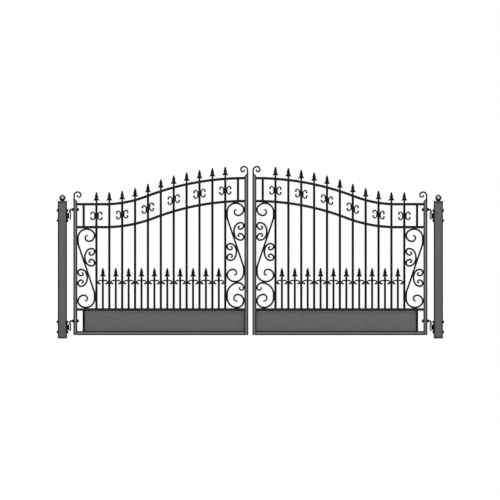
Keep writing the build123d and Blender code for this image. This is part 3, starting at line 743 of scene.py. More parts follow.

# %% [markdown]
# ## Hinges
# Each hinge has a plate bolted right through the post, a web and a zinc plated barrel. The
# bore could be cut with a Boolean modifier, which leaves ragged triangles round the rims. A
# sleeve is cleaner: its profile is closed, up the outside, over the rim, down the bore and
# back, and the grid joins on in both directions. The barrel's left and right sides are
# painted black as painted shade, and the bare zinc shows along its front and its back.

# %% Measures of a hinge
HINGE_AXIS = frame["joints"][0]["pos_m"][0] / MM
HINGE_HEIGHTS = (174.0, 1285.0)             # the middle of each hook's arm
PLATE_HEIGHT, PLATE_WIDTH, PLATE_THICKNESS = 130.0, 50.0, 6.0
PLATE_RISE = 2.0                            # the plate's top, above the arm's middle
BARREL_LENGTH, BARREL_DROP, BARREL_RADIUS = 60.0, 33.0, 12.5
BORE_RADIUS = 8.05
WEB_THICKNESS, WEB_MARGIN = 10.0, 2.0       # the web stops short of the barrel's rims
WEB_BITE, BARREL_BITE = 0.5, 1.5            # how far it runs into the plate and the barrel
WEB_SEAM, WEB_SEAM_SIDE = 54.0, 6.0         # length of its weld beads, and their place
BOLT_DROPS = (-9.0, -109.0)                 # from the arm's middle
BOLT_HEAD, BOLT_END = ((14.5, 3), (22, 8), 2), ((14.5, 2), (21, 6), 1.5)  # washer, nut, dome
BARE_ZINC_MIDDLE, BARE_ZINC_HALF = HINGE_AXIS - 3.5, 5.5  # the band of bare zinc; outside it, black painted shade
POST_FACE = POST_SIDE / 2
print("hinge axis", round(HINGE_AXIS, 2), "mm from the post's middle")

# %% Sleeves and beads of weld
def ring_grid(rings):
    """Squares over a grid that joins on in both directions, such as a sleeve or a hoop."""
    rows, columns = rings.shape[:2]
    row, column = np.arange(rows)[:, None], np.arange(columns)[None, :]
    beside, above = (column + 1) % columns, (row + 1) % rows * columns
    row = row * columns
    quads = np.stack([row + column, row + beside, above + beside, above + column], -1)
    return shape(rings.reshape(-1, 3), quads)


def sleeve(middle, foot, length, outer, inner, sides=28, soft=0.8):
    """A round sleeve: a rectangle with softened corners carried round the vertical axis."""
    profile = np.array([
        (foot, inner + soft), (foot, outer - soft), (foot + soft, outer),
        (foot + length - soft, outer), (foot + length, outer - soft),
        (foot + length, inner + soft), (foot + length - soft, inner), (foot + soft, inner),
    ])
    turn = np.arange(sides) * 2 * np.pi / sides
    ring = [np.cos(turn), np.sin(turn)]
    points = [middle + profile[:, 1:] * ring[0], profile[:, 1:] * ring[1],
              np.broadcast_to(profile[:, :1], (len(profile), sides))]
    return ring_grid(np.stack(points, -1))


def weld_seam(start, end, radius=2.6, ripples=9, sides=6):
    """A bead of weld between two points: a thin spindle whose radius ripples along it."""
    start, end = np.array(start, float), np.array(end, float)
    share = np.linspace(0, 1, 2 * ripples + 1)
    swell = radius * np.sqrt(np.clip(1 - (2 * share - 1) ** 6, 0.03, 1))
    swell *= 1 + 0.14 * np.cos(2 * np.pi * ripples * share)
    length = np.linalg.norm(end - start)
    return turned(start, (end - start) / length, np.stack([share * length, swell], -1), sides)


bead = weld_seam((0, 0, 0), (50, 0, 0))
print("a bead of weld swells to", round(float(bead["points"][:, Z].max()), 2), "mm")

# %% Brackets
plates, bolts, barrels = [], [], []
plate_face = POST_FACE + PLATE_THICKNESS
web_start = plate_face - WEB_BITE
web_length = HINGE_AXIS - BARREL_RADIUS + BARREL_BITE - web_start
for z in HINGE_HEIGHTS:
    plate_middle = z + PLATE_RISE - PLATE_HEIGHT / 2
    plates.append(straight((POST_FACE, plate_middle), 0, PLATE_THICKNESS, PLATE_HEIGHT,
                           PLATE_WIDTH, corner=5, steps=3))
    middle = z - BARREL_DROP - BARREL_LENGTH / 2
    plates.append(straight((web_start, middle), 0, web_length,
                           BARREL_LENGTH - 2 * WEB_MARGIN, WEB_THICKNESS))
    for y in (-WEB_SEAM_SIDE, WEB_SEAM_SIDE):
        ends = [(plate_face + 0.5, y, middle + side * WEB_SEAM / 2) for side in (-1, 1)]
        plates.append(weld_seam(*ends))
    barrel = sleeve(HINGE_AXIS, middle - BARREL_LENGTH / 2, BARREL_LENGTH, BARREL_RADIUS,
                    BORE_RADIUS)
    # Black painted shade on the barrel's sides, outside the band of bare zinc.
    barrels.append(painted_black(barrel, lambda at: np.abs(at[:, X] - BARE_ZINC_MIDDLE) > BARE_ZINC_HALF))
    for drop in BOLT_DROPS:
        bolts += fastener(-POST_FACE, -1, z + drop, *BOLT_HEAD)
        bolts += fastener(plate_face, 1, z + drop, *BOLT_END)
piece("hinge_plates", "posts", "hardware", steel_black, on_both_posts(plates),
      ["hinge_brackets"])
piece("hinge_barrels", "posts", "hardware", zinc, on_both_posts(barrels))
piece("post_bolts", "posts", "hardware", steel_black, on_both_posts(bolts))

# %% [markdown]
# A pintle is a hook: a pin that turns in the barrel, a collar that carries the leaf's weight
# on the barrel's rim, and a bent arm that goes through the stile, with a nut on each side.

# %% Pintles
PIN_RADIUS, PIN_CHAMFER, PIN_BELOW = 7.95, 1.5, 7.0
BEND_RADIUS, PINTLE_BAR = 12.0, 17.6
COLLAR_GAP = 0.3                # between the collar and the barrel's rim
COLLAR = [(0, 11.5), (0.8, 12), (5.2, 12), (6, 11.2)]
ARM_FOOT = 5.0                  # the arm starts this far up in its collar
PINTLE_NUT, PINTLE_WASHER = (27.0, 12.0), (17.0, 2.5)
pintles = []
axis = HINGE_AXIS - LEAF_START
for z in HINGE_HEIGHTS:
    collar_foot = z - BARREL_DROP + COLLAR_GAP
    runs = [(z - BEND_RADIUS - collar_foot - ARM_FOOT, 0), (BEND_RADIUS, -90),
            (STILE + PINTLE_NUT[1] - 2 - axis - BEND_RADIUS, 0)]
    pintles.append(bar(*chain((axis, collar_foot + ARM_FOOT), 90, runs), PINTLE_BAR, PINTLE_BAR))
    pin_end = z - BARREL_DROP - BARREL_LENGTH - PIN_BELOW
    pin = [(0, PIN_RADIUS - PIN_CHAMFER), (PIN_CHAMFER, PIN_RADIUS),
           (collar_foot - pin_end + 1, PIN_RADIUS)]
    pintles.append(turned((axis, 0, pin_end), (0, 0, 1), pin, sides=28))
    pintles.append(turned((axis, 0, collar_foot), (0, 0, 1), COLLAR, sides=24))
    for face, out, dome in ((0, -1, 0), (STILE, 1, 5)):
        pintles += fastener(face, out, z, PINTLE_WASHER, PINTLE_NUT, dome, sides=28, sunk=0.5)
on_both_leaves("pintle_hooks", "hardware", steel_black, pintles, ["hinge_pintles"])

# %% [markdown]
# ## The leaf's frame
# Stiles and rails are square tube. A stile's top is cut at 45 degrees. The Bisect tool would
# cut it, but the line of glaze along the cut would need its own edges then. So the last rings
# of the bar are sheared up instead, by their distance from the inner face, and two of them
# hold the glaze. The rails run between the stiles.

# %% Stiles and rails
TUBE_CORNER, TUBE_BAND = 3.5, 13.5
BEVEL_LINE = 11.0               # black glaze along the cut at a stile's top
FRAME_FOOT = GROUND_GAP - 2     # the coat gathers along the lower edge


def stile(outer, inner, top):
    """A tube from the bottom up to its bevel, which rises to the outer face."""
    low = top - STILE
    runs = [(low - BEVEL_LINE - FADE - FRAME_FOOT, 0), (FADE, 0), (BEVEL_LINE, 0)]
    tube = bar(*chain(((outer + inner) / 2, FRAME_FOOT), 90, runs), STILE, STILE,
               corner=TUBE_CORNER, band=TUBE_BAND, steps=3)
    tube = painted_black(tube, lambda at: at[:, Z] > low - BEVEL_LINE - 1)
    points = tube["points"].copy()
    rising = points[:, Z] > low - BEVEL_LINE - FADE - 1
    points[rising, Z] += np.abs(points[rising, X] - inner)
    return {**tube, "points": points}


def rail(foot, head, band):
    """A tube between the stiles. Without a band, the glaze reaches far across each face."""
    return straight((STILE, (foot + head) / 2), 0, CLEAR_END - STILE, head - foot, STILE,
                    corner=TUBE_CORNER, band=band, steps=3, ends=0)


on_both_leaves("hinge_stile_tube", "frame", frame_coat,
               [stile(0, STILE, HINGE_STILE_TOP)], ["hinge_stile"])
on_both_leaves("meeting_stile_tube", "frame", frame_coat,
               [stile(LEAF_WIDTH, CLEAR_END, MEETING_STILE_TOP)], ["meeting_stile"])
on_both_leaves("bottom_rail_tube", "frame", frame_coat,
               [rail(FRAME_FOOT, RAIL_TOP, TUBE_BAND)], ["bottom_rail"])
on_both_leaves("panel_rail_tube", "frame", rail_coat,
               [rail(PANEL_TOP, PICKET_FOOT, None)], ["panel_rail"])

# %% [markdown]
# ## Kick panel
# The panel is one sheet of 2.5 mm steel between the rails. Cold rolled sheet is never quite
# flat once it is welded in. A bump map would only shade that, and leave the reflections and
# the outline flat, so the points themselves wave by a fraction of a millimetre, fading to
# nothing at the welded edges. Short stitches of weld hold it.

# %% Panel sheet
PANEL_LEFT = span("left_kick_panel", X)[0] - LEAF_START
PANEL_THICKNESS = span("left_kick_panel", Y)[1] * 2
PANEL_HIGHLIGHT_BAND = 9.0                # the paler line along the sheet's edges, a painted highlight
PANEL_FADE = 60.0               # the wave dies away over this distance from an edge


def closed_sheet(across, up, thickness, wave, band):
    """Two grids back to back, with a rim of squares between their edges.

    The wave and the painted highlight line both go by the distance to the nearest of the four
    edges.
    """
    u, z = np.meshgrid(across, up)
    near = np.min([u - across[0], across[-1] - u, z - up[0], up[-1] - z], axis=0)
    bulge = wave(u, z) * np.clip(near / PANEL_FADE, 0, 1)
    rows, columns = u.shape
    front = np.stack([u, bulge - thickness / 2, z], -1).reshape(-1, 3)
    back = np.stack([u, bulge + thickness / 2, z], -1).reshape(-1, 3)
    row, column = np.arange(rows - 1)[:, None] * columns, np.arange(columns - 1)[None, :]
    square = np.stack([row + column, row + column + 1, row + columns + column + 1,
                       row + columns + column], -1).reshape(-1, 4)
    count = rows * columns
    edge = np.concatenate([np.arange(columns), np.arange(2, rows + 1) * columns - 1,
                           count - 2 - np.arange(columns - 1),
                           np.arange(rows - 2, 0, -1) * columns])
    after = np.roll(edge, -1)
    rim = np.stack([after, edge, edge + count, after + count], -1)
    arris = np.tile(np.clip(1 - near / band, 0, 1).ravel(), 2)
    quads = np.vstack([square, square[:, ::-1] + count, rim])
    return shape(np.vstack([front, back]), quads, arris=arris)


def ripple(u, z):
    """Half a millimetre of a sine times a cosine, and a finer slanting sine of half of that."""
    return 0.5 * np.sin(u / 171) * np.cos(z / 83) + 0.25 * np.sin(u / 67 + z / 41)


def spaced(start, end, band, step):
    """Grid lines from start to end, with a close pair at each edge for the painted highlight
    line.
    """
    inner = np.linspace(start + band, end - band, int((end - start) / step))
    return np.concatenate([[start], inner, [end]])


panel = closed_sheet(spaced(PANEL_LEFT, CLEAR_END, PANEL_HIGHLIGHT_BAND, 22),
                     spaced(RAIL_TOP, PANEL_TOP, PANEL_HIGHLIGHT_BAND, 20),
                     PANEL_THICKNESS, ripple, PANEL_HIGHLIGHT_BAND)
on_both_leaves("kick_sheet", "panel", panel_coat, [panel], ["kick_panel"])

# %% Stitch welds along the panel
# The pale grey of the stitches is a painted highlight on the weld beads.
stitch_highlight_coat = coat("pale_weld_painted_highlight", grey(0.38), GLAZE, mottle=0.2)
STITCH, STITCH_GAP, STITCH_RADIUS = 22.0, 11.0, 4.4
STITCH_Z = PANEL_TOP - 5
FIRST_STITCH, LAST_GAP = PANEL_LEFT + 14, 8.0
stitches = []
for start in np.arange(FIRST_STITCH, CLEAR_END - STITCH - LAST_GAP, STITCH + STITCH_GAP):
    for side in (-1, 1):
        y = side * (PANEL_THICKNESS / 2 + 1)
        stitches.append(weld_seam((start, y, STITCH_Z), (start + STITCH, y, STITCH_Z),
                                  STITCH_RADIUS, ripples=4))
on_both_leaves("panel_stitches", "panel", stitch_highlight_coat, stitches)

# %% [markdown]
# ## Arched rails, pickets and dog bars
# The arches are rolled from solid bar along the same circles as in the CAD model. Each
# picket is cut to meet an arch, so its end follows the arch's slope. Boolean cuts would do
# it too, at the price of a broken mesh at each of the joints. Here the last ring of the bar
# is moved up or down with the height of the curve over each of its corners.

# %% Arches
ROLLING_STEP = 0.8              # degrees of turn from one ring to the next


def arch(drop):
    """The rail that lies drop below the upper arch: a level run and two circles."""
    turn = float(np.degrees(ARCH_TURN))
    runs = [(ARCH_FLAT_END - STILE, 0), (HOLLOW_RADIUS + drop, turn),
            (CROWN_RADIUS - drop, -turn)]
    line = chain((STILE, ARCH_HINGE_Z - drop), 0, runs, step=ROLLING_STEP)
    return bar(*line, ARCH_HEIGHT, ARCH_DEPTH, corner=2.5, ends=0, steps=3)


on_both_leaves("upper_arch_bar", "bars", arch_coat, [arch(0)], ["upper_arch"])
on_both_leaves("lower_arch_bar", "bars", arch_coat, [arch(BAND_DROP)], ["lower_arch"])

# %% Bars that end on a curve
BITE = 1.0                      # how far a bar runs into what it is welded to
HALF_ARCH = ARCH_HEIGHT / 2


def fitted(u, side, foot_curve, head_curve):
    """A bar whose two ends follow curves: each end's ring takes the curve's height over u."""
    made = upright(u, 0, 100, side, corner=1.6, ends=0)
    points = made["points"].copy()
    high = points[:, Z] > 50
    points[high, Z] = head_curve(points[high, X])
    points[~high, Z] = foot_curve(points[~high, X])
    return {**made, "points": points}


# The curves that a bar's end can follow: a level, an arch's underside and its top side.
def level(z):
    return lambda u: np.full(len(u), z)


def under(drop):
    return lambda u: arch_height(u, drop + HALF_ARCH) + BITE


def over(drop):
    return lambda u: arch_height(u, drop - HALF_ARCH) - BITE


sample = fitted(PICKETS[0], PICKET, over(BAND_DROP), under(0))["points"][:, Z]
print("between the arches the first picket runs from", round(float(sample.min()), 1), "to",
      round(float(sample.max()), 1))

# %% Pickets, struts and dog bars
STRUT_EDGES = np.array(span("left_arch_struts", X)) - LEAF_START
STRUTS = STRUT_EDGES + [PICKET / 2, -PICKET / 2]
pickets = [fitted(u, PICKET, level(PICKET_FOOT - BITE), under(BAND_DROP)) for u in PICKETS]
pickets += [fitted(u, PICKET, over(BAND_DROP), under(0)) for u in PICKETS]
on_both_leaves("picket_bars", "bars", bar_coat, pickets, ["pickets"])
struts = [fitted(u, PICKET, over(BAND_DROP), under(0)) for u in STRUTS]
on_both_leaves("strut_bars", "bars", bar_coat, struts, ["arch_struts"])
end_bar = upright(STRUTS[0], RAIL_TOP, PANEL_TOP, PICKET, ends=0)
on_both_leaves("panel_end_bar_bar", "bars", bar_coat, [end_bar], ["panel_end_bar"])
DOG_BAR_TOP = span("left_dog_bars", Z)[1]
dogs = [upright(u, PICKET_FOOT - BITE, DOG_BAR_TOP, DOG_BAR, ends=0) for u in DOG_BARS]
on_both_leaves("dog_bar_bars", "bars", bar_coat, dogs, ["dog_bars"])

# %% [markdown]
# ## Spears
# A spear is a casting, so it is drawn as one skin. It could be sculpted, or modelled from a
# cube with a mirror, but every spear must be the same and have few faces. So it is a stack of
# rings. A ring is a superellipse: a power of the cosine across and of the sine through. A
# power near 2 gives a diamond, for the blade with its ridge, 1 gives an oval, and a small
# power gives nearly a square, for the shank. The barbs droop, so each ring is bent down at
# its sides by the square of the distance from the middle.

# %% Spear castings
SPEAR_ROWS = np.array([
    # below the tip, half width, half depth, power, droop
    (0, 3.0, 2.0, 1.0, 0), (2.5, 5.8, 3.4, 1.4, 0), (14, 9.6, 5.0, 1.7, 0),
    (30, 13.2, 6.9, 1.8, 0), (41, 16.4, 8.1, 1.8, 0), (46, 17.0, 8.5, 1.8, 0),
    (50, 16.2, 8.5, 1.7, 0), (55, 14.8, 8.5, 1.4, 0), (58, 15.0, 8.5, 1.3, 0),
    (63, 18.6, 8.3, 1.3, 0.5), (69, 23.6, 7.8, 1.4, 2.5), (75, 28.2, 6.8, 1.5, 5.0),
    (79, 30.6, 5.2, 1.4, 6.0), (80.5, 30.8, 4.4, 1.3, 5.5), (81.5, 28.4, 5.2, 1.1, 4.0),
    (82.6, 17.0, 7.4, 0.7, 1.0), (84.5, 8.8, 8.4, 0.4, 0),
])
SPEAR_SHANK = 8.5


def spear(u, tip, length, sides=20):
    """The rows as rings, and a last one at the foot, at full length below the tip."""
    rows = np.vstack([SPEAR_ROWS, (length, SPEAR_SHANK, SPEAR_SHANK, 0.4, 0)])
    down, wide, deep, power, droop = (rows[:, i:i + 1] for i in range(5))
    turn = (np.arange(sides) + 0.5) * 2 * np.pi / sides
    across = np.sign(np.cos(turn)) * np.abs(np.cos(turn)) ** power
    through = np.sign(np.sin(turn)) * np.abs(np.sin(turn)) ** power
    z = tip - down - droop * across**2
    return closed_tube(np.stack([u + wide * across, deep * through, z], -1))


PICKET_SPEAR, SPEAR_LENGTH = 120.0, 98.0    # a tip's height over the arch and the dog bar
SPEAR_FOOT = 6.0                            # above the arch's middle, so inside the arch
spears = [spear(u, float(arch_height(u)) + PICKET_SPEAR, PICKET_SPEAR - SPEAR_FOOT)
          for u in PICKETS]
spears += [spear(u, DOG_BAR_TOP + SPEAR_LENGTH, SPEAR_LENGTH + BITE) for u in DOG_BARS]
on_both_leaves("cast_spears", "castings", cast_coat, spears, ["spear_points"])

# %% [markdown]
# ## Scrolls
# All scrolls are square bar, bent on jigs and drawn down towards the ends. A Bezier curve
# could be pulled about until it looks right, but it wouldn't touch its neighbours, and a
# spiral formula wouldn't fill the cell. The big scrolls are laid out by touching circles
# instead: an S fills its cell from side to side, its straight stretch leans between two
# shoulders, and a C leans its back on that stretch. The widths follow the distance to the
# nearer end, by a power, so that the bar thins only over its last stretch.

# %% Sizes of the large scrolls
SCROLL_BAR = 16.0
WELD_BITE = 0.6                             # how far a scroll runs into what it touches
HINGE_CELL = (STILE, PICKETS[0] - PICKET / 2)
MEETING_CELL = (PICKETS[-1] + PICKET / 2, CLEAR_END)
S_TOP_OFFSET = 3.3                          # from the cell's middle to the S's crest
S_SHOULDER, S_REST, S_CREST = 129.0, 38.0, (85.5, 90.5)
S_INNER = ((58.0, 90), (36.0, 90), (20.0, 80))      # radius, turn
S_TAIL = 10.0
UPPER_C, LOWER_C = (110.0, 87.0), (95.4, 84.0)      # middle above the S's own, half height
C_BACK, C_BACK_TURN, C_CURL_GAP = 112.0, 30.0, 43.6
C_INNER = ((19.0, 90), (9.0, 100))
print("cell widths", round(HINGE_CELL[1] - HINGE_CELL[0], 1),
      round(MEETING_CELL[1] - MEETING_CELL[0], 1))


# %% Lines with two ends, and bars drawn down along them
def drawn_down(points, full, tip, length, power=1.4):
    """Widths along a bar: full, but for a stretch at each end where it is drawn down."""
    travel = lengths(points)
    near = np.minimum(travel, travel[-1] - travel)
    return full - (full - tip) * np.clip(1 - near / length, 0, 1) ** power


def two_ended(middle, heading, half, mirror):
    """A line grown outwards from its middle: half as given, its twin turned or mirrored."""
    points, angles = chain(middle, heading, half)
    back = [(size, -turn) for size, turn in reversed(half)]
    twin = [(size, -turn) for size, turn in half] if mirror else list(half)
    return chain(points[-1], np.degrees(angles[-1]) + 180, back + twin)


def forged(line, length=110.0, tip=12.0):
    """A scroll bar along a line. Its depth thins by 0.4 of what its width thins by."""
    width = drawn_down(line[0], SCROLL_BAR, tip, length)
    return bar(*line, width, width * 0.4 + SCROLL_BAR * 0.6, corner=2.6, ends=1.5)


wave = two_ended((0, 0), 90, [(20, 0), (40, -90)], False)[0]
print("an S of two quarter circles is", *np.ptp(wave, axis=0).round(1), "mm wide and high")


# %% The S, from tangency
def s_layout(half_width, half_height):
    """The runs of half an S, from its middle upwards, and the lean of its straight stretch.

    Over the top go four bends of 45 degrees, the outer two as large as the cell allows:
    each pair's radii, seen from above, add up to the way from the crest to the upright.
    Below them the S rests on the upright, and then its shoulder's circle touches both the
    upright and the straight stretch, whose length is the side of a right triangle with the
    line from the middle to the circle's centre as its hypotenuse.
    """
    half = np.sin(np.radians(45))
    before, after = ((half_width + side * S_TOP_OFFSET - crest * half) / (1 - half)
                     for side, crest in zip((1, -1), S_CREST))
    shoulder_z = half_height - S_CREST[0] * (1 - half) - before * half - S_REST
    reach = np.hypot(half_width - S_SHOULDER, shoulder_z)
    tilt = np.arctan2(shoulder_z, S_SHOULDER - half_width) + np.arcsin(S_SHOULDER / reach)
    lean = np.degrees(tilt) - 90
    runs = [(np.sqrt(reach**2 - S_SHOULDER**2), 0), (S_SHOULDER, -lean), (S_REST, 0)]
    runs += [(radius, -45) for radius in (before, *S_CREST, after)]
    return runs + [(radius, -turn) for radius, turn in S_INNER] + [(S_TAIL, 0)], lean


print("half an S is a chain of", len(s_layout(83, 450)[0]), "runs")


# %% The C, from tangency, and both in a cell
def c_line(middle, half_width, lean, centre, half_height):
    """A C that leans its back on the S and touches the upright on its right with both curls.

    Its back is a circle whose centre keeps one radius and one bar away from the S's straight
    stretch. The corner's radius makes up the half height, the front's the way to the
    upright, and the curl's what is left above the gap between the two curls.
    """
    turn, tilt = np.radians(C_BACK_TURN), np.radians(lean)
    corner = (half_height - C_BACK * np.sin(turn)) / (1 - np.sin(turn))
    touch = C_BACK + SCROLL_BAR - WELD_BITE - centre * np.sin(tilt)
    left = touch / np.cos(tilt) - C_BACK
    front = half_width - left - C_BACK * (1 - np.cos(turn)) - corner * np.cos(turn)
    curl = half_height - front - C_CURL_GAP / 2
    runs = [(C_BACK, -C_BACK_TURN), (corner, C_BACK_TURN - 90), (front, -90), (curl, -90)]
    runs += [(radius, -sweep) for radius, sweep in C_INNER]
    return two_ended((middle[0] + left, middle[1] + centre), 90, runs, True)


def half_turned(line, middle):
    """A line turned half round: twice the middle less each point, and angles up by pi."""
    points, angles = line
    return 2 * np.array(middle) - points, angles + np.pi


def cell_scrolls(cell, foot, head):
    """The S of a cell and its two Cs, the lower one turned half round."""
    half_width = (cell[1] - cell[0] - SCROLL_BAR) / 2 + WELD_BITE
    half_height = (head - foot - SCROLL_BAR) / 2 + WELD_BITE
    middle = ((cell[0] + cell[1]) / 2, (head + foot) / 2)
    runs, lean = s_layout(half_width, half_height)
    upper, lower = (c_line(middle, half_width, lean, *size) for size in (UPPER_C, LOWER_C))
    print("an S leans by", round(float(lean), 1), "degrees")
    return two_ended(middle, 90 + lean, runs, False), [upper, half_turned(lower, middle)]


UNDER_ARCH = ARCH_HINGE_Z - BAND_DROP - HALF_ARCH
S_HEIGHT = UNDER_ARCH - PICKET_FOOT
crest = sum(MEETING_CELL) / 2 + S_TOP_OFFSET
MEETING_TOP = float(arch_height(crest, BAND_DROP)) - HALF_ARCH
MEETING_FOOT = MEETING_TOP - S_HEIGHT
hinge_s, hinge_cs = cell_scrolls(HINGE_CELL, PICKET_FOOT, UNDER_ARCH)
meeting_s, meeting_cs = cell_scrolls(MEETING_CELL, MEETING_FOOT, MEETING_TOP)

# %% [markdown]
# The meeting cell is taller, and one more scroll fills the room under its S. Each end of a
# scroll is blunt: a smith upsets it, which means beating the hot tip back into itself, and a
# small ball on the end does that here.

# %% The scroll under the meeting side's S
LOW_TOP, LOW_FOOT, LOW_LIFT = 115.0, 98.0, 3.0
LOW_HEAD = ((22.0, -90), (20.0, -100))      # radius, turn
LOW_CURL = ((62.0, 90), (36.0, 90), (30.0, 90))
UPSET_TIP = 7.6                             # radius of the blunt ends


def upset_ends(line, ends=(0, -1)):
    """A small ball on the ends of a scroll."""
    return [ball((line[0][i][0], 0, line[0][i][1]), UPSET_TIP, sides=14) for i in ends]


def low_scroll(cell, foot, head):
    """Up from the picket and over to a small curl, down and round to a full one."""
    left = cell[0] + SCROLL_BAR / 2 - WELD_BITE
    reach = cell[1] - cell[0] - SCROLL_BAR + 2 * WELD_BITE
    middle_z = foot + SCROLL_BAR / 2 - WELD_BITE + LOW_FOOT
    rise = head + LOW_LIFT - SCROLL_BAR / 2 - middle_z - LOW_TOP
    up = [(rise, 0), (LOW_TOP, -90), (reach - LOW_TOP, -90), *LOW_HEAD]
    down = [(LOW_FOOT, 90), (reach - LOW_FOOT, 90), *LOW_CURL]
    points, angles = chain((left, middle_z), 90, up)
    back = [(size, -turn) for size, turn in reversed(up)]
    return chain(points[-1], np.degrees(angles[-1]) + 180, back + down)


on_both_leaves("forged_s_scrolls", "scrolls", scroll_coat,
               [forged(hinge_s), forged(meeting_s)], ["s_scrolls"])
cs = []
for line in hinge_cs + meeting_cs:
    cs += [forged(line, length=80), *upset_ends(line)]
low = low_scroll(MEETING_CELL, PICKET_FOOT, MEETING_FOOT)
cs += [forged(low), *upset_ends(low)]
on_both_leaves("forged_c_scrolls", "scrolls", scroll_coat, cs, ["c_scrolls"])

# %% [markdown]
# A curl stands on the bevel of each stile and rolls in over the leaf, by quarter circles of
# falling radius. Its foot is sheared to the slope of the bevel, as the stile's top is.

# %% Curls on the stiles
CURL_BAR, CURL_TIP, CURL_TAPER = 14.0, 12.0, 60.0
CURL_RADII = (37.0, 30.0, 21.0, 14.0)
CURL_RISE = span("left_stile_curls", Z)[1] - CURL_BAR / 2 - MEETING_STILE_TOP


def stile_curl(outer, top, inward):
    """A riser flush with the outer face, and quarter circles that close in over the leaf."""
    foot = top - CURL_BAR
    runs = [(CURL_RISE - CURL_RADII[0] + CURL_BAR, 0)]
    runs += [(radius, -90 * inward) for radius in CURL_RADII]
    line = chain((outer + inward * CURL_BAR / 2, foot), 90, runs)
    left_over = lengths(line[0])[-1] - lengths(line[0])
    width = CURL_BAR - (CURL_BAR - CURL_TIP) * np.clip(1 - left_over / CURL_TAPER, 0, 1)
    made = bar(*line, width, (width + CURL_BAR) / 2, corner=2.2)
    points = made["points"].copy()
    low = points[:, Z] < foot + 2
    points[low, Z] = top - np.abs(points[low, X] - outer) - BITE + (points[low, Z] - foot)
    return [{**made, "points": points}, *upset_ends(line, [-1])]


on_both_leaves("forged_curls", "scrolls", scroll_coat,
               stile_curl(0, HINGE_STILE_TOP, 1) + stile_curl(LEAF_WIDTH, MEETING_STILE_TOP, -1),
               ["stile_curls"])

# %% [markdown]
# ## Small scrolls and hooks
# The fine bars end in little balls, which a smith upsets on the end before bending. Pairs of
# small Cs sit back to back on every second picket between the arches, each in the middle of
# the band where it hangs. A hook runs from each dog bar to the pickets on both sides. Linked
# copies of one C would save memory, but each pair hangs at its own height, and one mesh for
# all of them is simpler to paint and to move with the leaf.

# %% Fine bars
FINE_BAR, FINE_BITE = 12.0, 0.3
PAIR_RUNS = ((17.0, 0), (14.0, 48), (11.0, 0), (15.0, 150))     # from the middle of a C
PAIR_HANG, PAIR_DROP = 20.0, 2.0
HOOK_Z, HOOK_RADIUS, HOOK_CURL = 578.6, 23.0, (10.0, 120)
KNOB = 9.0                      # radius of the balls


def knobbed(line, knobs=(0, -1)):
    """A fine bar with a ball on its ends."""
    balls = [ball((line[0][i][0], 0, line[0][i][1]), KNOB, sides=12) for i in knobs]
    return [bar(*line, FINE_BAR, FINE_BAR, corner=1.8, ends=0), *balls]


small, hooks = [], []
for u in PICKETS[::2]:
    for side in (-1, 1):
        start = u + side * (PICKET + FINE_BAR - 2 * FINE_BITE) / 2
        hang = start + side * PAIR_HANG
        z = float(arch_height(hang) + arch_height(hang, BAND_DROP)) / 2 - PAIR_DROP
        half = [(size, -side * turn) for size, turn in PAIR_RUNS]
        small += knobbed(two_ended((start, z), 90, half, True))
reach = (PITCH - PICKET - DOG_BAR - FINE_BAR) / 2 + FINE_BITE - HOOK_RADIUS
for u in DOG_BARS:
    for side in (-1, 1):
        runs = [(reach, 0), (HOOK_RADIUS, -90 * side), (HOOK_CURL[0], -HOOK_CURL[1] * side)]
        line = chain((u + side * DOG_BAR / 2, HOOK_Z), 90 - 90 * side, runs)
        hooks += knobbed(line, knobs=(-1,))
on_both_leaves("small_c_scrolls", "scrolls", scroll_coat, small, ["c_scroll_pairs"])
on_both_leaves("dog_hooks", "scrolls", scroll_coat, hooks, ["dog_bar_hooks"])

# %% [markdown]
# ## Welds
# Every bar is welded all round where it meets a rail or an arch. A torus could be squashed
# into place at each joint, a hundred times on each leaf. Here a bead is a hoop: a small
# circle carried round a rounded square, tilted with the slope of the arch it lies on. There
# are many, so each has only a few dozen faces.

# %% Beads round the feet of bars
BEAD, THIN_BEAD = 2.2, 1.6      # radii
SQUARENESS = 0.35               # the power that makes a round path square


def hoop(u, z, half, radius=BEAD, slope=0.0, around=16, sides=4):
    """A bead round a square bar. A small power of the cosine and sine makes its path square."""
    turn = (np.arange(around) + 0.5) * 2 * np.pi / around
    out = np.stack([np.cos(turn), np.sin(turn)], -1)
    path = half * np.sign(out) * np.abs(out) ** SQUARENESS
    small = np.arange(sides) * 2 * np.pi / sides
    away = radius * np.cos(small)
    points = [u + path[:, :1] + out[:, :1] * away, path[:, 1:] + out[:, 1:] * away,
              z + slope * path[:, :1] + radius * np.sin(small)]
    return ring_grid(np.stack(points, -1))


def on_curve(u, side, drop):
    """A bead where a bar meets the curve that lies drop below the upper arch's middle."""
    slope = float(arch_height(u + 1, drop) - arch_height(u - 1, drop)) / 2
    return hoop(u, float(arch_height(u, drop)), side / 2, slope=slope)


beads = [hoop(u, PICKET_FOOT, PICKET / 2) for u in PICKETS]
beads += [hoop(u, PICKET_FOOT, DOG_BAR / 2) for u in DOG_BARS]
beads += [hoop(u, DOG_BAR_TOP, DOG_BAR / 2, radius=THIN_BEAD) for u in DOG_BARS]
beads += [on_curve(u, PICKET, BAND_DROP + HALF_ARCH) for u in PICKETS]
for u in [*PICKETS, *STRUTS]:
    beads += [on_curve(u, PICKET, BAND_DROP - HALF_ARCH), on_curve(u, PICKET, HALF_ARCH)]
beads += [on_curve(u, 2 * SPEAR_SHANK, -HALF_ARCH) for u in PICKETS]
on_both_leaves("bar_welds", "bars", bar_coat, beads)

# %% [markdown]
# ## Studio
# The view is an elevation, square on and without perspective, so the camera is orthographic.
# The world gives even soft light. It shows plain white to the camera and in reflections,
# which gives the white ground behind the gate. Stronger lamps would whiten the ground too,
# but they would bleach the paint. The pale floor takes the gate's soft shadow.

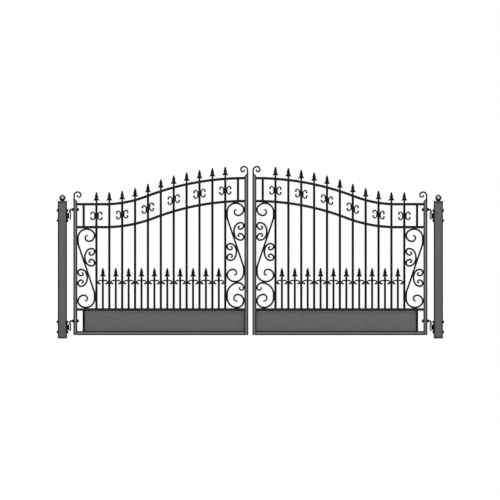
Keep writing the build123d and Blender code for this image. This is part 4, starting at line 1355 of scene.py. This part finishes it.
# %% Floor
WHITE, PALE = (1, 1, 1, 1), (0.9, 0.9, 0.9, 1)
FLOOR_SIZE = 60.0               # metres
bpy.ops.mesh.primitive_plane_add(size=FLOOR_SIZE, location=(GATE_MIDDLE * MM, 0, 0))
floor = bpy.context.object
floor.name = "studio_floor"
floor_paint = bpy.data.materials.new("pale_floor")
floor_paint.use_nodes = True
matt = floor_paint.node_tree.nodes["Principled BSDF"].inputs
matt["Base Color"].default_value = PALE
matt["Roughness"].default_value = 0.9
floor.data.materials.append(floor_paint)
print("floor", FLOOR_SIZE, "m wide")

# %% World and lamps
world = bpy.data.worlds.new("studio")
bpy.context.scene.world = world
world.use_nodes = True
sky = world.node_tree
sky.nodes.clear()
seen = node(sky, "LightPath")
either = node(sky, "Math", [(0, seen, "Is Camera Ray"), (1, seen, "Is Glossy Ray")],
              operation="MAXIMUM")
any_of = node(sky, "Math", [(0, either, "Value"), (1, seen, "Is Transmission Ray")],
              operation="MAXIMUM")
light = node(sky, "Background", Color=WHITE, Strength=0.8)
backdrop = node(sky, "Background", Color=WHITE)
mix = node(sky, "MixShader", [("Fac", any_of, "Value"), (1, light, "Background"),
                              (2, backdrop, "Background")])
node(sky, "OutputWorld", [("Surface", mix, "Shader")])


def soft_lamp(name, place, aim, size, power):
    """A square area lamp turned towards a point."""
    lamp = bpy.data.lights.new(name, "AREA")
    lamp.size, lamp.energy = size, power
    made = bpy.data.objects.new(name, lamp)
    made.location = place
    made.rotation_euler = (Vector(aim) - Vector(place)).to_track_quat("-Z", "Y").to_euler()
    bpy.context.scene.collection.objects.link(made)
    print(name, "lamp of", power, "W")


middle = (GATE_MIDDLE * MM, 0, 0.9)
soft_lamp("key", (5.8, -5.5, 6.0), middle, 2.2, 160)
soft_lamp("fill", (-3.5, -5, 2.5), middle, 4, 60)

# %% Camera
VIEW_WIDTH, VIEW_HEIGHT, VIEW_SHIFT = 4.9875, 0.8819, -0.0037   # metres
VIEW_DISTANCE = 10.0
camera = bpy.data.objects.new("camera", bpy.data.cameras.new("camera"))
camera.data.type = "ORTHO"
camera.data.ortho_scale = VIEW_WIDTH
camera.location = (GATE_MIDDLE * MM + VIEW_SHIFT, -VIEW_DISTANCE, VIEW_HEIGHT)
camera.rotation_euler = (np.pi / 2, 0, 0)
bpy.context.scene.collection.objects.link(camera)
bpy.context.scene.camera = camera
bpy.context.scene.view_settings.view_transform = "Standard"
print("camera sees", VIEW_WIDTH, "m across")
